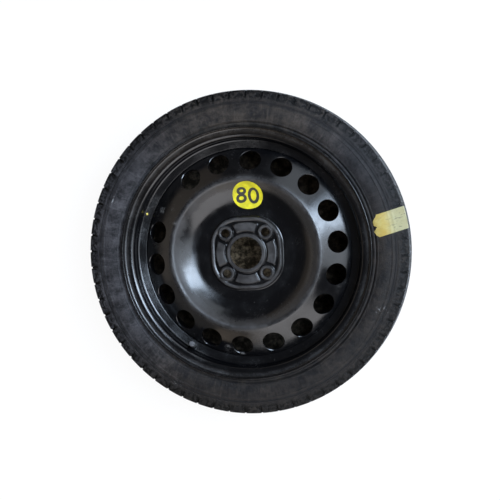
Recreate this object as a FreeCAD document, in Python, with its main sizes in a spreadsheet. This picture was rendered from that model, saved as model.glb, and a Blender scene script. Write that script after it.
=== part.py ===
import FreeCAD, Part
import math
import os
import Sketcher

# Temporary-use spare wheel, lying with its outer face up.
# The wheel's axis is +Z and the origin is its centre, halfway between the rim's flanges.

# Driving sizes, in millimetres and degrees
SIZES = {
    # tyre
    "tyre_diameter": 570.0,
    "tyre_width": 118.0,
    "widest_share": 0.36,
    "sidewall_wall": 6.0,
    "shoulder_share": 0.69,
    "foot_height": 6.0,
    "foot_lean": 0.95,
    "bead_width": 13.0,
    "bead_gap": 0.1,
    "tread_width": 100.0,
    "tread_radius": 417.0,
    "tread_wall": 11.5,
    "groove_width": 7.0,
    "groove_depth": 5.0,
    "groove_pitch": 22.0,
    "notch_count": 60,
    "notch_width": 3.5,
    "notch_depth": 2.2,
    "notch_length": 13.0,
    # rim
    "rim_diameter": 405.6,
    "rim_width": 101.6,
    "rim_sheet": 2.4,
    "flange_height": 17.3,
    "flange_radius": 9.5,
    "lip_length": 2.0,
    "seat_width": 19.8,
    "seat_taper": 5.0,
    "rim_bend": 8.0,
    "well_diameter": 371.0,
    "well_front_angle": 77.0,
    "well_back_angle": 40.0,
    # disc
    "disc_sheet": 3.5,
    "disc_fit": 0.05,
    "hub_offset": 35.0,
    "bore_diameter": 56.6,
    "collar_width": 6.0,
    "collar_height": 1.8,
    "bolt_circle": 100.0,
    "bolt_count": 4,
    "bolt_hole": 14.0,
    "bolt_seat": 17.2,
    "bolt_seat_angle": 30.0,
    "boss_base": 27.6,
    "boss_top": 24.6,
    "boss_height": 3.0,
    "land_inner": 77.0,
    "land_outer": 108.0,
    "land_angle": 48.0,
    "land_height": 1.6,
    "plateau_width": 122.0,
    "plateau_corner": 48.0,
    "plateau_height": 5.0,
    "plateau_draft": 40.0,
    "valley_diameter": 152.0,
    "bowl_radius": 68.6,
    "bowl_angle": 45.0,
    "crown_radius": 9.0,
    "cone_angle": 31.0,
    "disc_bend": 6.0,
    "skirt_length": 25.0,
    "vent_circle": 324.0,
    "vent_diameter": 38.0,
    "vent_places": 18,
    "blank_angle": 147.6,
    "weld_count": 8,
    "weld_leg": 3.4,
    "weld_arc": 24.0,
    # valve
    "valve_angle": 239.4,
    "valve_circle": 383.8,
    "valve_hole": 11.5,
    "valve_fit": 0.05,
    "valve_gap": 0.15,
    "valve_bulge": 13.2,
    "valve_bulge_height": 3.2,
    "valve_neck_height": 8.0,
    "valve_rubber": 10.4,
    "valve_rubber_height": 17.5,
    "valve_foot": 13.2,
    "valve_foot_height": 4.0,
    "stem_diameter": 7.7,
    "stem_height": 25.0,
    "stem_bore": 2.6,
    "core_bore": 4.8,
    "core_bore_depth": 16.0,
    "core_fit": 0.03,
    "plug_top": 2.5,
    "plug_length": 4.0,
    "barrel_diameter": 3.8,
    "barrel_bore": 2.9,
    "barrel_length": 5.5,
    "barrel_floor": 0.5,
    "pin_diameter": 1.4,
    "pin_fit": 0.08,
    "pin_collar": 2.6,
    "pin_collar_height": 0.5,
    "pin_recess": 0.4,
    "seal_height": 0.6,
    "seal_diameter": 3.4,
    "seal_gap": 0.1,
    "spring_wire": 0.26,
    "spring_turns": 3,
    "spring_gap": 0.1,
    "cap_diameter": 9.5,
    "cap_gap": 0.3,
    "cap_bore_gap": 0.12,
    "cap_roof": 1.7,
    "cap_headroom": 1.3,
    # sticker and tape
    "sticker_arc": 46.4,
    "sticker_angle": 88.4,
    "sticker_share": 0.52,
    "sticker_spare": 2.0,
    "sticker_film": 0.2,
    "sticker_glue": 0.15,
    "tape_width": 38.0,
    "tape_film": 0.2,
    "tape_glue": 0.3,
    "tape_angle": 12.4,
    "tape_skew": 5.8,
    "tape_start_share": 0.076,
    "tape_lap": 14.0,
    "tape_tear": 12.0,
}
SHEET = "sizes"


class Size:
    """A number together with the spreadsheet formula that gives it."""

    def __init__(self, value, formula):
        self.value = value
        self.formula = formula

    def __add__(self, other):
        other = as_size(other)
        return Size(self.value + other.value, f"({self.formula} + {other.formula})")

    def __sub__(self, other):
        other = as_size(other)
        return Size(self.value - other.value, f"({self.formula} - {other.formula})")

    def __mul__(self, other):
        other = as_size(other)
        return Size(self.value * other.value, f"({self.formula} * {other.formula})")

    def __truediv__(self, other):
        other = as_size(other)
        return Size(self.value / other.value, f"({self.formula} / {other.formula})")

    def __neg__(self):
        return as_size(0) - self

    __radd__ = __add__
    __rmul__ = __mul__


def as_size(number):
    return number if isinstance(number, Size) else Size(float(number), f"{number}")


def sin(angle):
    return Size(math.sin(math.radians(angle.value)), f"sin({angle.formula})")


def cos(angle):
    return Size(math.cos(math.radians(angle.value)), f"cos({angle.formula})")


def tan(angle):
    return Size(math.tan(math.radians(angle.value)), f"tan({angle.formula})")


def slope(rise, run):
    """The angle, in degrees, of a line that climbs by rise over run."""
    angle = math.degrees(math.atan(rise.value / run.value))
    return Size(angle, f"(atan({rise.formula} / {run.formula}) / 1 deg)")


def root(number):
    return Size(math.sqrt(number.value), f"sqrt({number.formula})")


def placement(x, y, z, *turns):
    """The formula of a place and of turns about named axes, the last one made first."""
    axes = {"y": "vector(0; 1; 0)", "z": "vector(0; 0; 1)"}
    where = "; ".join(as_size(item).formula for item in (x, y, z))
    turned = " * ".join(f"rotation({axes[axis]}; {as_size(angle).formula})" for axis, angle in turns)
    return f"placement(vector({where}); {turned})"


def make_sheet(doc):
    """Writes the driving sizes to the document's sheet and returns them by name."""
    sheet = doc.addObject("Spreadsheet::Sheet", SHEET)
    for row, (name, value) in enumerate(SIZES.items(), start=1):
        sheet.set(f"A{row}", name)
        sheet.set(f"B{row}", f"{value}")
        sheet.setAlias(f"B{row}", name)
    doc.recompute()
    return {name: Size(float(sheet.get(name)), f"{SHEET}.{name}") for name in SIZES}


def make_body(doc, label, seat=None):
    body = doc.addObject("PartDesign::Body", label)
    body.Label = label
    if seat:
        body.setExpression("Placement", seat)
    return body


def make_sketch(body, name, role, seat=None):
    sketch = body.newObject("Sketcher::SketchObject", f"{body.Label}_{name}")
    plane = next(item for item in body.Origin.OriginFeatures if item.Role == role)
    sketch.AttachmentSupport = (plane, [""])
    sketch.MapMode = "FlatFace"
    if seat:
        sketch.setExpression("AttachmentOffset", seat)
    return sketch


def pin_point(sketch, edge, end, across, up):
    """Holds one end of an edge at its distances from the sketch's axes."""
    for kind, axis, size in (("DistanceX", -2, across), ("DistanceY", -1, up)):
        size = as_size(size)
        if size.formula in ("0", "0.0"):
            sketch.addConstraint(Sketcher.Constraint("PointOnObject", edge, end, axis))
            continue
        index = sketch.addConstraint(Sketcher.Constraint(kind, -1, 1, edge, end, size.value))
        sketch.setExpression(f"Constraints[{index}]", size.formula)


def arc_between(start, end, radius, turn):
    """The shorter arc from start to end, turning left (1) or right (-1)."""
    middle = (start + end) * 0.5
    half = (end - start) * 0.5
    rise = math.sqrt(max(radius * radius - half.Length ** 2, 0.0))
    side = FreeCAD.Vector(-half.y, half.x, 0).normalize()
    centre = middle + side * (rise * turn)
    angles = [math.atan2(point.y - centre.y, point.x - centre.x) for point in (start, end)]
    circle = Part.Circle(centre, FreeCAD.Vector(0, 0, 1), radius)
    return Part.ArcOfCircle(circle, *(angles if turn > 0 else reversed(angles)))


def add_outline(sketch, corners):
    """A closed outline. A corner is (across, up), or (across, up, radius, turn) where an arc leaves it."""
    points = [FreeCAD.Vector(as_size(c[0]).value, as_size(c[1]).value, 0) for c in corners]
    count = len(corners)
    edges = []
    for index, corner in enumerate(corners):
        start, end = points[index], points[(index + 1) % count]
        if len(corner) == 2:
            edge = sketch.addGeometry(Part.LineSegment(start, end))
            edges.append((edge, 1, 2))
            continue
        radius, turn = corner[2], corner[3]
        edge = sketch.addGeometry(arc_between(start, end, radius.value, turn))
        edges.append((edge, 1, 2) if turn > 0 else (edge, 2, 1))
        limit = sketch.addConstraint(Sketcher.Constraint("Radius", edge, radius.value))
        sketch.setExpression(f"Constraints[{limit}]", radius.formula)
    for index, corner in enumerate(corners):
        edge, first, _ = edges[index]
        before, _, last = edges[index - 1]
        sketch.addConstraint(Sketcher.Constraint("Coincident", before, last, edge, first))
        pin_point(sketch, edge, first, corner[0], corner[1])


def flats(centre, radius, start, end, count):
    """Corners of a small bend, drawn as equal flats from one angle to another to keep the mesh light."""
    corners = []
    for step in range(count + 1):
        angle = as_size(start) + (as_size(end) - start) * step / count
        corners.append((centre[0] + radius * cos(angle), centre[1] + radius * sin(angle)))
    return corners


def add_circle(sketch, across, up, radius):
    centre = FreeCAD.Vector(as_size(across).value, as_size(up).value, 0)
    edge = sketch.addGeometry(Part.Circle(centre, FreeCAD.Vector(0, 0, 1), radius.value))
    limit = sketch.addConstraint(Sketcher.Constraint("Radius", edge, radius.value))
    sketch.setExpression(f"Constraints[{limit}]", radius.formula)
    pin_point(sketch, edge, 3, across, up)


def revolve(body, sketch, angle=None):
    """Turns a sketch about its upright axis, all the way round or evenly to both sides."""
    feature = body.newObject("PartDesign::Revolution", f"{sketch.Label}_turned")
    feature.Profile = (sketch, [""])
    feature.ReferenceAxis = (sketch, ["V_Axis"])
    feature.Angle = 360
    if angle is not None:
        feature.Midplane = True
        feature.setExpression("Angle", angle.formula)
    return feature


def extrude(body, sketch, length, kind="Pad", taper=None, backward=False, both=False):
    feature = body.newObject(f"PartDesign::{kind}", f"{sketch.Label}_run")
    feature.Profile = (sketch, [""])
    feature.setExpression("Length", as_size(length).formula)
    feature.Reversed = backward
    if both:
        feature.SideType = "Symmetric"
    if taper is not None:
        feature.setExpression("TaperAngle", taper.formula)
    return feature


def repeat_round(body, name, features, count, angle=None):
    """Copies features about the body's own Z axis."""
    pattern = body.newObject("PartDesign::PolarPattern", f"{body.Label}_{name}")
    pattern.Originals = features
    axis = next(item for item in body.Origin.OriginFeatures if item.Role == "Z_Axis")
    pattern.Axis = (axis, [""])
    pattern.Angle = 360
    if angle is not None:
        pattern.setExpression("Angle", angle.formula)
    pattern.setExpression("Occurrences", count.formula)
    body.Tip = pattern
    return pattern


def rim_lines(s):
    """Radii and heights that the rim shares with the tyre, the disc and the valve."""
    half = s["rim_width"] / 2
    seat = s["rim_diameter"] / 2
    flange = seat + s["flange_height"]
    heel = s["rim_bend"] - s["rim_sheet"]
    seat_end = seat - (s["seat_width"] - heel) * tan(s["seat_taper"])
    seat_end_z = half - s["seat_width"]
    well = s["well_diameter"] / 2
    drop = seat_end - well
    well_front_z = seat_end_z - drop / tan(s["well_front_angle"])
    well_back_z = -seat_end_z + drop / tan(s["well_back_angle"])
    return {
        "half": half,
        "seat": seat,
        "heel": heel,
        "flange": flange,
        "curl": flange - s["flange_radius"],
        "curl_z": half + s["flange_radius"],
        "lip_z": half + s["flange_radius"] + s["lip_length"],
        "seat_end": seat_end,
        "seat_end_z": seat_end_z,
        "well": well,
        "well_front_z": well_front_z,
        "well_back_z": well_back_z,
        "front_step": s["rim_sheet"] * tan(s["well_front_angle"] / 2),
        "back_step": s["rim_sheet"] * tan(s["well_back_angle"] / 2),
        "well_inside": well - s["rim_sheet"],
    }


def valve_seat(s):
    """Where the valve's axis meets the outer face of the well's front wall, and how it leans in."""
    rim = rim_lines(s)
    radius = s["valve_circle"] / 2
    lean = as_size(90) - s["well_front_angle"]
    height = rim["well_front_z"] + rim["front_step"] + (radius - rim["well_inside"]) * tan(lean)
    return radius, height, lean


def make_rim(doc, s):
    """Rolled hoop: two curled flanges, tapered bead seats and a drop-centre well with the valve hole."""
    rim = rim_lines(s)
    sheet, bend, heel = s["rim_sheet"], s["rim_bend"], rim["heel"]
    outer_curl, inner_curl = s["flange_radius"], s["flange_radius"] - sheet
    face = rim["half"] + sheet
    inside = rim["seat"] - sheet
    body = make_body(doc, "rim", placement(0, 0, 0, ("z", s["valve_angle"])))
    front_curl, back_curl = (rim["curl"], rim["curl_z"]), (rim["curl"], -rim["curl_z"])
    section = make_sketch(body, "section", "XZ_Plane")
    add_outline(section, [
        (rim["flange"], rim["lip_z"]),
        *flats(front_curl, outer_curl, 0, -90, 3),
        *flats((rim["seat"] + heel, rim["half"] - heel), heel, 90, 180, 3),
        (rim["seat_end"], rim["seat_end_z"]),
        (rim["well"], rim["well_front_z"]),
        (rim["well"], rim["well_back_z"]),
        (rim["seat_end"], -rim["seat_end_z"]),
        *flats((rim["seat"] + heel, heel - rim["half"]), heel, 180, 270, 3),
        *flats(back_curl, outer_curl, 90, 0, 3),
        (rim["flange"], -rim["lip_z"]),
        (rim["flange"] - sheet, -rim["lip_z"]),
        *flats(back_curl, inner_curl, 0, 90, 3),
        *flats((inside + bend, bend - face), bend, 270, 180, 3),
        (rim["seat_end"] - sheet, -rim["seat_end_z"] - rim["back_step"]),
        (rim["well_inside"], rim["well_back_z"] - rim["back_step"]),
        (rim["well_inside"], rim["well_front_z"] + rim["front_step"]),
        (rim["seat_end"] - sheet, rim["seat_end_z"] + rim["front_step"]),
        *flats((inside + bend, face - bend), bend, 180, 90, 3),
        *flats(front_curl, inner_curl, -90, 0, 3),
        (rim["flange"] - sheet, rim["lip_z"]),
    ])
    revolve(body, section)
    radius, height, lean = valve_seat(s)
    hole = make_sketch(body, "valve_hole", "XY_Plane", placement(radius, 0, height, ("y", -lean)))
    add_circle(hole, 0, 0, s["valve_hole"] / 2)
    extrude(body, hole, sheet * 4, kind="Pocket", both=True)
    return body


def tyre_lines(s):
    """Radii and heights of the tyre's outer surface, which the tape follows too."""
    rim = rim_lines(s)
    radius = s["tyre_diameter"] / 2
    section = radius - rim["flange"]
    widest = rim["flange"] + section * s["widest_share"]
    shoulder = rim["flange"] + section * s["shoulder_share"]
    foot = rim["curl"] + s["foot_height"]
    bulge = s["tyre_width"] / 2 - rim["half"] - s["foot_lean"]
    arc = ((widest - foot) * (widest - foot) + bulge * bulge) / (bulge * 2)
    arc_z = s["tyre_width"] / 2 - arc

    def sidewall_rise(at):
        return root(arc * arc - (at - widest) * (at - widest))

    def sidewall_z(at):
        return arc_z + sidewall_rise(at)

    def sidewall_angle(at):
        return as_size(90) - slope(at - widest, sidewall_rise(at))

    def tread(height):
        return radius - height * height / (s["tread_radius"] * 2)

    return {
        "radius": radius,
        "widest": widest,
        "foot": foot,
        "shoulder": shoulder,
        "edge_z": s["tread_width"] / 2,
        "section": section,
        "arc": arc,
        "arc_z": arc_z,
        "sidewall_z": sidewall_z,
        "sidewall_angle": sidewall_angle,
        "tread": tread,
    }


def make_tyre(doc, s):
    """Moulded casing with beads on the rim's seats, three tread grooves and notched shoulders."""
    rim, tyre = rim_lines(s), tyre_lines(s)
    tread, sidewall_z = tyre["tread"], tyre["sidewall_z"]
    base = rim["seat"] + s["bead_gap"]
    toe = base - (s["bead_width"] - rim["heel"]) * tan(s["seat_taper"])
    toe_z = rim["half"] - s["bead_width"]
    edge_z = tyre["edge_z"]
    wall_z = s["tyre_width"] / 2 - s["sidewall_wall"]
    crown = tyre["radius"] - s["tread_wall"]
    crown_z = edge_z - s["sidewall_wall"]
    half_groove = s["groove_width"] / 2
    arc = tyre["arc"]
    outline = [
        (base, rim["half"] - rim["heel"]),
        (base + rim["heel"], rim["half"]),
        (rim["curl"], rim["half"]),
        (tyre["foot"], sidewall_z(tyre["foot"]), arc, -1),
        (tyre["shoulder"], sidewall_z(tyre["shoulder"])),
        (tread(edge_z), edge_z),
    ]
    for place in (1, 0, -1):
        middle = s["groove_pitch"] * place
        upper, lower = middle + half_groove, middle - half_groove
        outline += [
            (tread(upper), upper),
            (tread(upper) - s["groove_depth"], upper),
            (tread(lower) - s["groove_depth"], lower),
            (tread(lower), lower),
        ]
    outline += [
        (tread(edge_z), -edge_z),
        (tyre["shoulder"], -sidewall_z(tyre["shoulder"]), arc, -1),
        (tyre["foot"], -sidewall_z(tyre["foot"])),
        (rim["curl"], -rim["half"]),
        (base + rim["heel"], -rim["half"]),
        (base, rim["heel"] - rim["half"]),
        (toe, -toe_z),
        (tyre["widest"], -wall_z),
        (crown, -crown_z),
        (crown, crown_z),
        (tyre["widest"], wall_z),
        (toe, toe_z),
    ]
    body = make_body(doc, "tyre")
    section = make_sketch(body, "section", "XZ_Plane")
    add_outline(section, outline)
    revolve(body, section)
    notch_z = edge_z - s["notch_length"]
    past = tyre["radius"] + s["notch_depth"]
    side_z = s["tyre_width"] / 2
    floor_fall = (tread(notch_z) - tread(edge_z) + s["notch_depth"]) / s["notch_length"]
    notches = []
    for side in (1, -1):
        notch = make_sketch(body, "notch_upper" if side > 0 else "notch_lower", "XZ_Plane")
        add_outline(notch, [
            (tread(notch_z), notch_z * side),
            (past, notch_z * side),
            (past, side_z * side),
            (tread(notch_z) - floor_fall * (side_z - notch_z), side_z * side),
        ])
        notches.append(extrude(body, notch, s["notch_width"], kind="Pocket", both=True))
    repeat_round(body, "notches", notches, s["notch_count"])
    return body


def disc_lines(s):
    """Radii and heights of the pressed disc's outer face."""
    rim = rim_lines(s)
    sheet = s["disc_sheet"]
    valley = s["valley_diameter"] / 2
    valley_z = s["hub_offset"] + sheet
    bowl_z = valley_z + s["bowl_radius"]
    skirt = rim["well_inside"] - s["disc_fit"]
    crown = valley + (s["bowl_radius"] + s["crown_radius"]) * sin(s["bowl_angle"])
    crown_z = bowl_z - (s["bowl_radius"] + s["crown_radius"]) * cos(s["bowl_angle"])
    cone = crown + s["crown_radius"] * sin(s["cone_angle"])
    cone_z = crown_z + s["crown_radius"] * cos(s["cone_angle"])
    bend = skirt - s["disc_bend"]
    cone_end = bend + s["disc_bend"] * sin(s["cone_angle"])
    cone_end_z = cone_z - (cone_end - cone) * tan(s["cone_angle"])
    bend_z = cone_end_z - s["disc_bend"] * cos(s["cone_angle"])
    return {
        "valley": valley,
        "valley_z": valley_z,
        "bowl_z": bowl_z,
        "crown": crown,
        "crown_z": crown_z,
        "cone": cone,
        "cone_z": cone_z,
        "bend": bend,
        "bend_z": bend_z,
        "skirt": skirt,
        "skirt_z": bend_z - s["skirt_length"],
        "plateau_z": valley_z + s["plateau_height"],
    }


def add_rounded_square(sketch, width, corner):
    half = width / 2
    flat = half - corner
    signs = ((1, -1), (1, 1), (-1, 1), (-1, -1))
    corners = []
    for x_sign, y_sign in signs:
        upright = (half * x_sign, flat * y_sign)
        level = (flat * x_sign, half * y_sign)
        first, second = (upright, level) if x_sign == y_sign else (level, upright)
        corners += [(*first, corner, 1), second]
    add_outline(sketch, corners)


def make_disc(doc, s):
    """Pressed disc: bolted plateau, bowl, crown, vented cone and the skirt that fits the rim's well."""
    line = disc_lines(s)
    sheet = s["disc_sheet"]
    bowl, crown, bend = s["bowl_radius"], s["crown_radius"], s["disc_bend"]
    rise, fall = s["bowl_angle"], s["cone_angle"]
    half_plateau = s["plateau_width"] / 2
    pitch = as_size(360) / s["vent_places"]
    body = make_body(doc, "wheel_disc", placement(0, 0, 0, ("z", s["blank_angle"])))

    def bowl_end(radius):
        return line["valley"] + radius * sin(rise), line["bowl_z"] - radius * cos(rise)

    def crown_end(radius):
        return line["crown"] + radius * sin(fall), line["crown_z"] + radius * cos(fall)

    def bend_start(radius):
        return line["bend"] + radius * sin(fall), line["bend_z"] + radius * cos(fall)

    section = make_sketch(body, "section", "XZ_Plane")
    floor_start = half_plateau - sheet
    add_outline(section, [
        (floor_start, line["valley_z"]),
        (floor_start, s["hub_offset"]),
        *flats((line["valley"], line["bowl_z"]), bowl + sheet, -90, rise - 90, 3),
        *flats((line["crown"], line["crown_z"]), crown - sheet, rise + 90, as_size(90) - fall, 2)[1:],
        *flats((line["bend"], line["bend_z"]), bend - sheet, as_size(90) - fall, 0, 1),
        (line["skirt"] - sheet, line["skirt_z"]),
        (line["skirt"], line["skirt_z"]),
        (line["skirt"], line["bend_z"], bend, 1),
        bend_start(bend),
        (*crown_end(crown), crown, 1),
        (*bowl_end(bowl), bowl, -1),
        (line["valley"], line["valley_z"]),
    ])
    revolve(body, section)

    # raised plateau of the hub, hollow behind, with its corners towards the bolts
    bolt_turn = pitch / 2 * -1
    flat_turn = bolt_turn + 45
    draft = s["plateau_draft"]
    inner_width = s["plateau_width"] + sheet * (tan(draft) - as_size(1) / cos(draft)) * 2
    plateau = make_sketch(body, "plateau", "XY_Plane", placement(0, 0, line["plateau_z"], ("z", flat_turn)))
    add_rounded_square(plateau, s["plateau_width"], s["plateau_corner"])
    extrude(body, plateau, s["plateau_height"] + sheet, taper=draft, backward=True)
    recess_z = line["plateau_z"] - sheet
    recess = make_sketch(body, "recess", "XY_Plane", placement(0, 0, recess_z, ("z", flat_turn)))
    add_rounded_square(recess, inner_width, s["plateau_corner"])
    extrude(body, recess, s["plateau_height"], kind="Pocket", taper=draft)

    # collar round the bore
    collar = make_sketch(body, "collar", "XY_Plane", placement(0, 0, line["plateau_z"], ("z", 0)))
    add_circle(collar, 0, 0, s["bore_diameter"] / 2 + s["collar_width"])
    extrude(body, collar, s["collar_height"])
    bore = make_sketch(body, "bore", "XY_Plane", placement(0, 0, s["hub_offset"], ("z", 0)))
    add_circle(bore, 0, 0, s["bore_diameter"] / 2)
    extrude(body, bore, (s["plateau_height"] + sheet + s["collar_height"]) * 2, kind="Pocket", backward=True)

    # one land and one bolt boss with its seat, repeated round the hub
    land = make_sketch(body, "land", "XY_Plane", placement(0, 0, line["plateau_z"], ("z", flat_turn)))
    inner, outer, half_angle = s["land_inner"] / 2, s["land_outer"] / 2, s["land_angle"] / 2
    add_outline(land, [
        (outer * cos(half_angle), -outer * sin(half_angle), outer, 1),
        (outer * cos(half_angle), outer * sin(half_angle)),
        (inner * cos(half_angle), inner * sin(half_angle), inner, -1),
        (inner * cos(half_angle), -inner * sin(half_angle)),
    ])
    land_pad = extrude(body, land, s["land_height"])
    bolt_x = s["bolt_circle"] / 2 * cos(bolt_turn)
    bolt_y = s["bolt_circle"] / 2 * sin(bolt_turn)
    boss_z = line["plateau_z"] + s["boss_height"]
    boss = make_sketch(body, "boss", "XY_Plane", placement(bolt_x, bolt_y, boss_z, ("z", 0)))
    add_circle(boss, 0, 0, s["boss_top"] / 2)
    boss_pad = extrude(body, boss, s["boss_height"] + sheet / 2, taper=boss_draft(s), backward=True)
    hole = make_sketch(body, "bolt_hole", "XY_Plane", placement(bolt_x, bolt_y, boss_z, ("z", 0)))
    add_circle(hole, 0, 0, s["bolt_hole"] / 2)
    hole_cut = extrude(body, hole, (s["boss_height"] + sheet) * 2, kind="Pocket")
    seat = make_sketch(body, "bolt_seat", "XY_Plane", placement(bolt_x, bolt_y, boss_z, ("z", 0)))
    add_circle(seat, 0, 0, s["bolt_seat"] / 2)
    seat_depth = (s["bolt_seat"] - s["bolt_hole"]) / 2 / tan(s["bolt_seat_angle"])
    seat_cut = extrude(body, seat, seat_depth, kind="Pocket", taper=-s["bolt_seat_angle"])
    repeat_round(body, "hub", [land_pad, boss_pad, hole_cut, seat_cut], s["bolt_count"])

    # vents square to the cone, at every place but the blank one
    vent_r = s["vent_circle"] / 2
    vent_z = line["cone_z"] - (vent_r - line["cone"]) * tan(fall)
    first = pitch
    vent_seat = placement(vent_r * cos(first), vent_r * sin(first), vent_z, ("z", first), ("y", fall))
    vent = make_sketch(body, "vent", "XY_Plane", vent_seat)
    add_circle(vent, 0, 0, s["vent_diameter"] / 2)
    vent_cut = extrude(body, vent, sheet * 6, kind="Pocket", both=True)
    vent_count = s["vent_places"] - 1
    repeat_round(body, "vents", [vent_cut], vent_count, pitch * (vent_count - 1))
    return body


def boss_draft(s):
    """The angle whose sides lead from the boss's top to its base."""
    return slope((s["boss_base"] - s["boss_top"]) / 2, s["boss_height"])


def make_welds(doc, s):
    """Short fillet beads between the skirt's edge and the rim's well."""
    line, rim = disc_lines(s), rim_lines(s)
    body = make_body(doc, "disc_welds")
    section = make_sketch(body, "section", "XZ_Plane")
    wall = rim["well_inside"] - s["disc_fit"]
    add_outline(section, [
        (wall, line["skirt_z"]),
        (wall - s["weld_leg"], line["skirt_z"]),
        (wall, line["skirt_z"] - s["weld_leg"]),
    ])
    bead = revolve(body, section, s["weld_arc"])
    repeat_round(body, "row", [bead], s["weld_count"])
    return body


def valve_body(doc, s, label):
    """A body whose own Z axis is the valve's, from the outer face of the rim outwards."""
    radius, height, lean = valve_seat(s)
    angle = s["valve_angle"]
    return make_body(
        doc, label, placement(radius * cos(angle), radius * sin(angle), height, ("z", angle), ("y", -lean))
    )


def turned_piece(doc, s, label, corners):
    body = valve_body(doc, s, label)
    section = make_sketch(body, "section", "XZ_Plane")
    add_outline(section, corners)
    revolve(body, section)
    return body


def core_lines(s):
    """Heights of the valve core along the valve's axis."""
    plug_top = s["stem_height"] - s["plug_top"]
    plug_foot = plug_top - s["plug_length"]
    barrel_foot = plug_foot - s["barrel_length"]
    seal_top = barrel_foot - s["seal_gap"]
    return {
        "plug_top": plug_top,
        "plug_foot": plug_foot,
        "barrel_foot": barrel_foot,
        "barrel_floor": barrel_foot + s["barrel_floor"],
        "seal_top": seal_top,
        "seal_foot": seal_top - s["seal_height"],
        "pin_foot": seal_top - s["seal_height"] * 2,
        "collar_top": plug_foot - s["seal_gap"],
        "collar_foot": plug_foot - s["seal_gap"] - s["pin_collar_height"],
        "stem_foot": -s["rim_sheet"] - s["valve_gap"] - s["valve_foot_height"],
    }


def make_valve_body(doc, s):
    """Snap-in rubber: a foot inside the rim, a neck in the hole and a tapered sleeve outside."""
    core = core_lines(s)
    sleeve = s["valve_rubber"] / 2
    bore = s["stem_diameter"] / 2
    neck = s["valve_hole"] / 2 - s["valve_fit"]
    foot_top = -s["rim_sheet"] - s["valve_gap"]
    foot = s["valve_foot"] / 2
    bulge = s["valve_bulge"] / 2
    return turned_piece(doc, s, "valve_body", [
        (bore, core["stem_foot"]),
        (neck, core["stem_foot"]),
        (foot, foot_top),
        (neck, foot_top),
        (neck, s["valve_gap"]),
        (bulge, s["valve_gap"]),
        (bulge, s["valve_bulge_height"]),
        (sleeve, s["valve_neck_height"]),
        (sleeve, s["valve_rubber_height"]),
        (bore, s["valve_rubber_height"]),
    ])


def make_stem(doc, s):
    """Brass tube, threaded at its mouth, with a chamber for the core."""
    core = core_lines(s)
    outer = s["stem_diameter"] / 2
    bore, chamber = s["stem_bore"] / 2, s["core_bore"] / 2
    step = s["stem_height"] - s["core_bore_depth"]
    return turned_piece(doc, s, "valve_stem", [
        (bore, core["stem_foot"]),
        (outer, core["stem_foot"]),
        (outer, s["stem_height"]),
        (chamber, s["stem_height"]),
        (chamber, step),
        (bore, step),
    ])


def make_core_plug(doc, s):
    """Threaded plug and barrel of the valve core."""
    core = core_lines(s)
    plug = s["core_bore"] / 2 - s["core_fit"]
    barrel = s["barrel_diameter"] / 2
    chamber = s["barrel_bore"] / 2
    bore = s["pin_diameter"] / 2 + s["pin_fit"]
    return turned_piece(doc, s, "valve_core_plug", [
        (bore, core["barrel_foot"]),
        (barrel, core["barrel_foot"]),
        (barrel, core["plug_foot"]),
        (plug, core["plug_foot"]),
        (plug, core["plug_top"]),
        (bore, core["plug_top"]),
        (bore, core["plug_foot"]),
        (chamber, core["plug_foot"]),
        (chamber, core["barrel_floor"]),
        (bore, core["barrel_floor"]),
    ])


def make_core_pin(doc, s):
    """Plunger with a collar for the spring and a foot that carries the seal."""
    core = core_lines(s)
    pin, collar, foot = s["pin_diameter"] / 2, s["pin_collar"] / 2, s["seal_diameter"] / 2
    top = s["stem_height"] - s["pin_recess"]
    return turned_piece(doc, s, "valve_core_pin", [
        (0, core["pin_foot"]),
        (foot, core["pin_foot"]),
        (foot, core["seal_foot"]),
        (pin, core["seal_foot"]),
        (pin, core["collar_foot"]),
        (collar, core["collar_foot"]),
        (collar, core["collar_top"]),
        (pin, core["collar_top"]),
        (pin, top),
        (0, top),
    ])


def make_core_seal(doc, s):
    core = core_lines(s)
    hole, outer = s["pin_diameter"] / 2, s["seal_diameter"] / 2
    return turned_piece(doc, s, "valve_core_seal", [
        (hole, core["seal_foot"]),
        (outer, core["seal_foot"]),
        (outer, core["seal_top"]),
        (hole, core["seal_top"]),
    ])


def make_core_spring(doc, s):
    """Coil between the barrel's floor and the pin's collar."""
    core = core_lines(s)
    wire = s["spring_wire"] / 2
    coil = (s["pin_diameter"] / 2 + s["barrel_bore"] / 2) / 2
    low = core["barrel_floor"] + s["spring_gap"] + wire
    high = core["collar_foot"] - s["spring_gap"] - wire
    body = valve_body(doc, s, "valve_core_spring")
    section = make_sketch(body, "wire", "XZ_Plane")
    add_outline(section, [
        (coil - wire, low - wire),
        (coil + wire, low - wire),
        (coil + wire, low + wire),
        (coil - wire, low + wire),
    ])
    helix = body.newObject("PartDesign::AdditiveHelix", "valve_core_spring_coil")
    helix.Profile = (section, [""])
    helix.ReferenceAxis = (section, ["V_Axis"])
    helix.Mode = "height-turns-angle"
    helix.setExpression("Height", (high - low).formula)
    helix.setExpression("Turns", s["spring_turns"].formula)
    return body


def make_cap(doc, s):
    """Moulded dust cap over the stem's thread."""
    outer = s["cap_diameter"] / 2
    bore = s["stem_diameter"] / 2 + s["cap_bore_gap"]
    foot = s["valve_rubber_height"] + s["cap_gap"]
    ceiling = s["stem_height"] + s["cap_headroom"]
    roof = ceiling + s["cap_roof"]
    round_edge = s["cap_roof"]
    return turned_piece(doc, s, "valve_cap", [
        (bore, foot),
        (outer, foot),
        (outer, roof - round_edge),
        (outer - round_edge, roof),
        (0, roof),
        (0, ceiling),
        (bore, ceiling),
    ])


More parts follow.
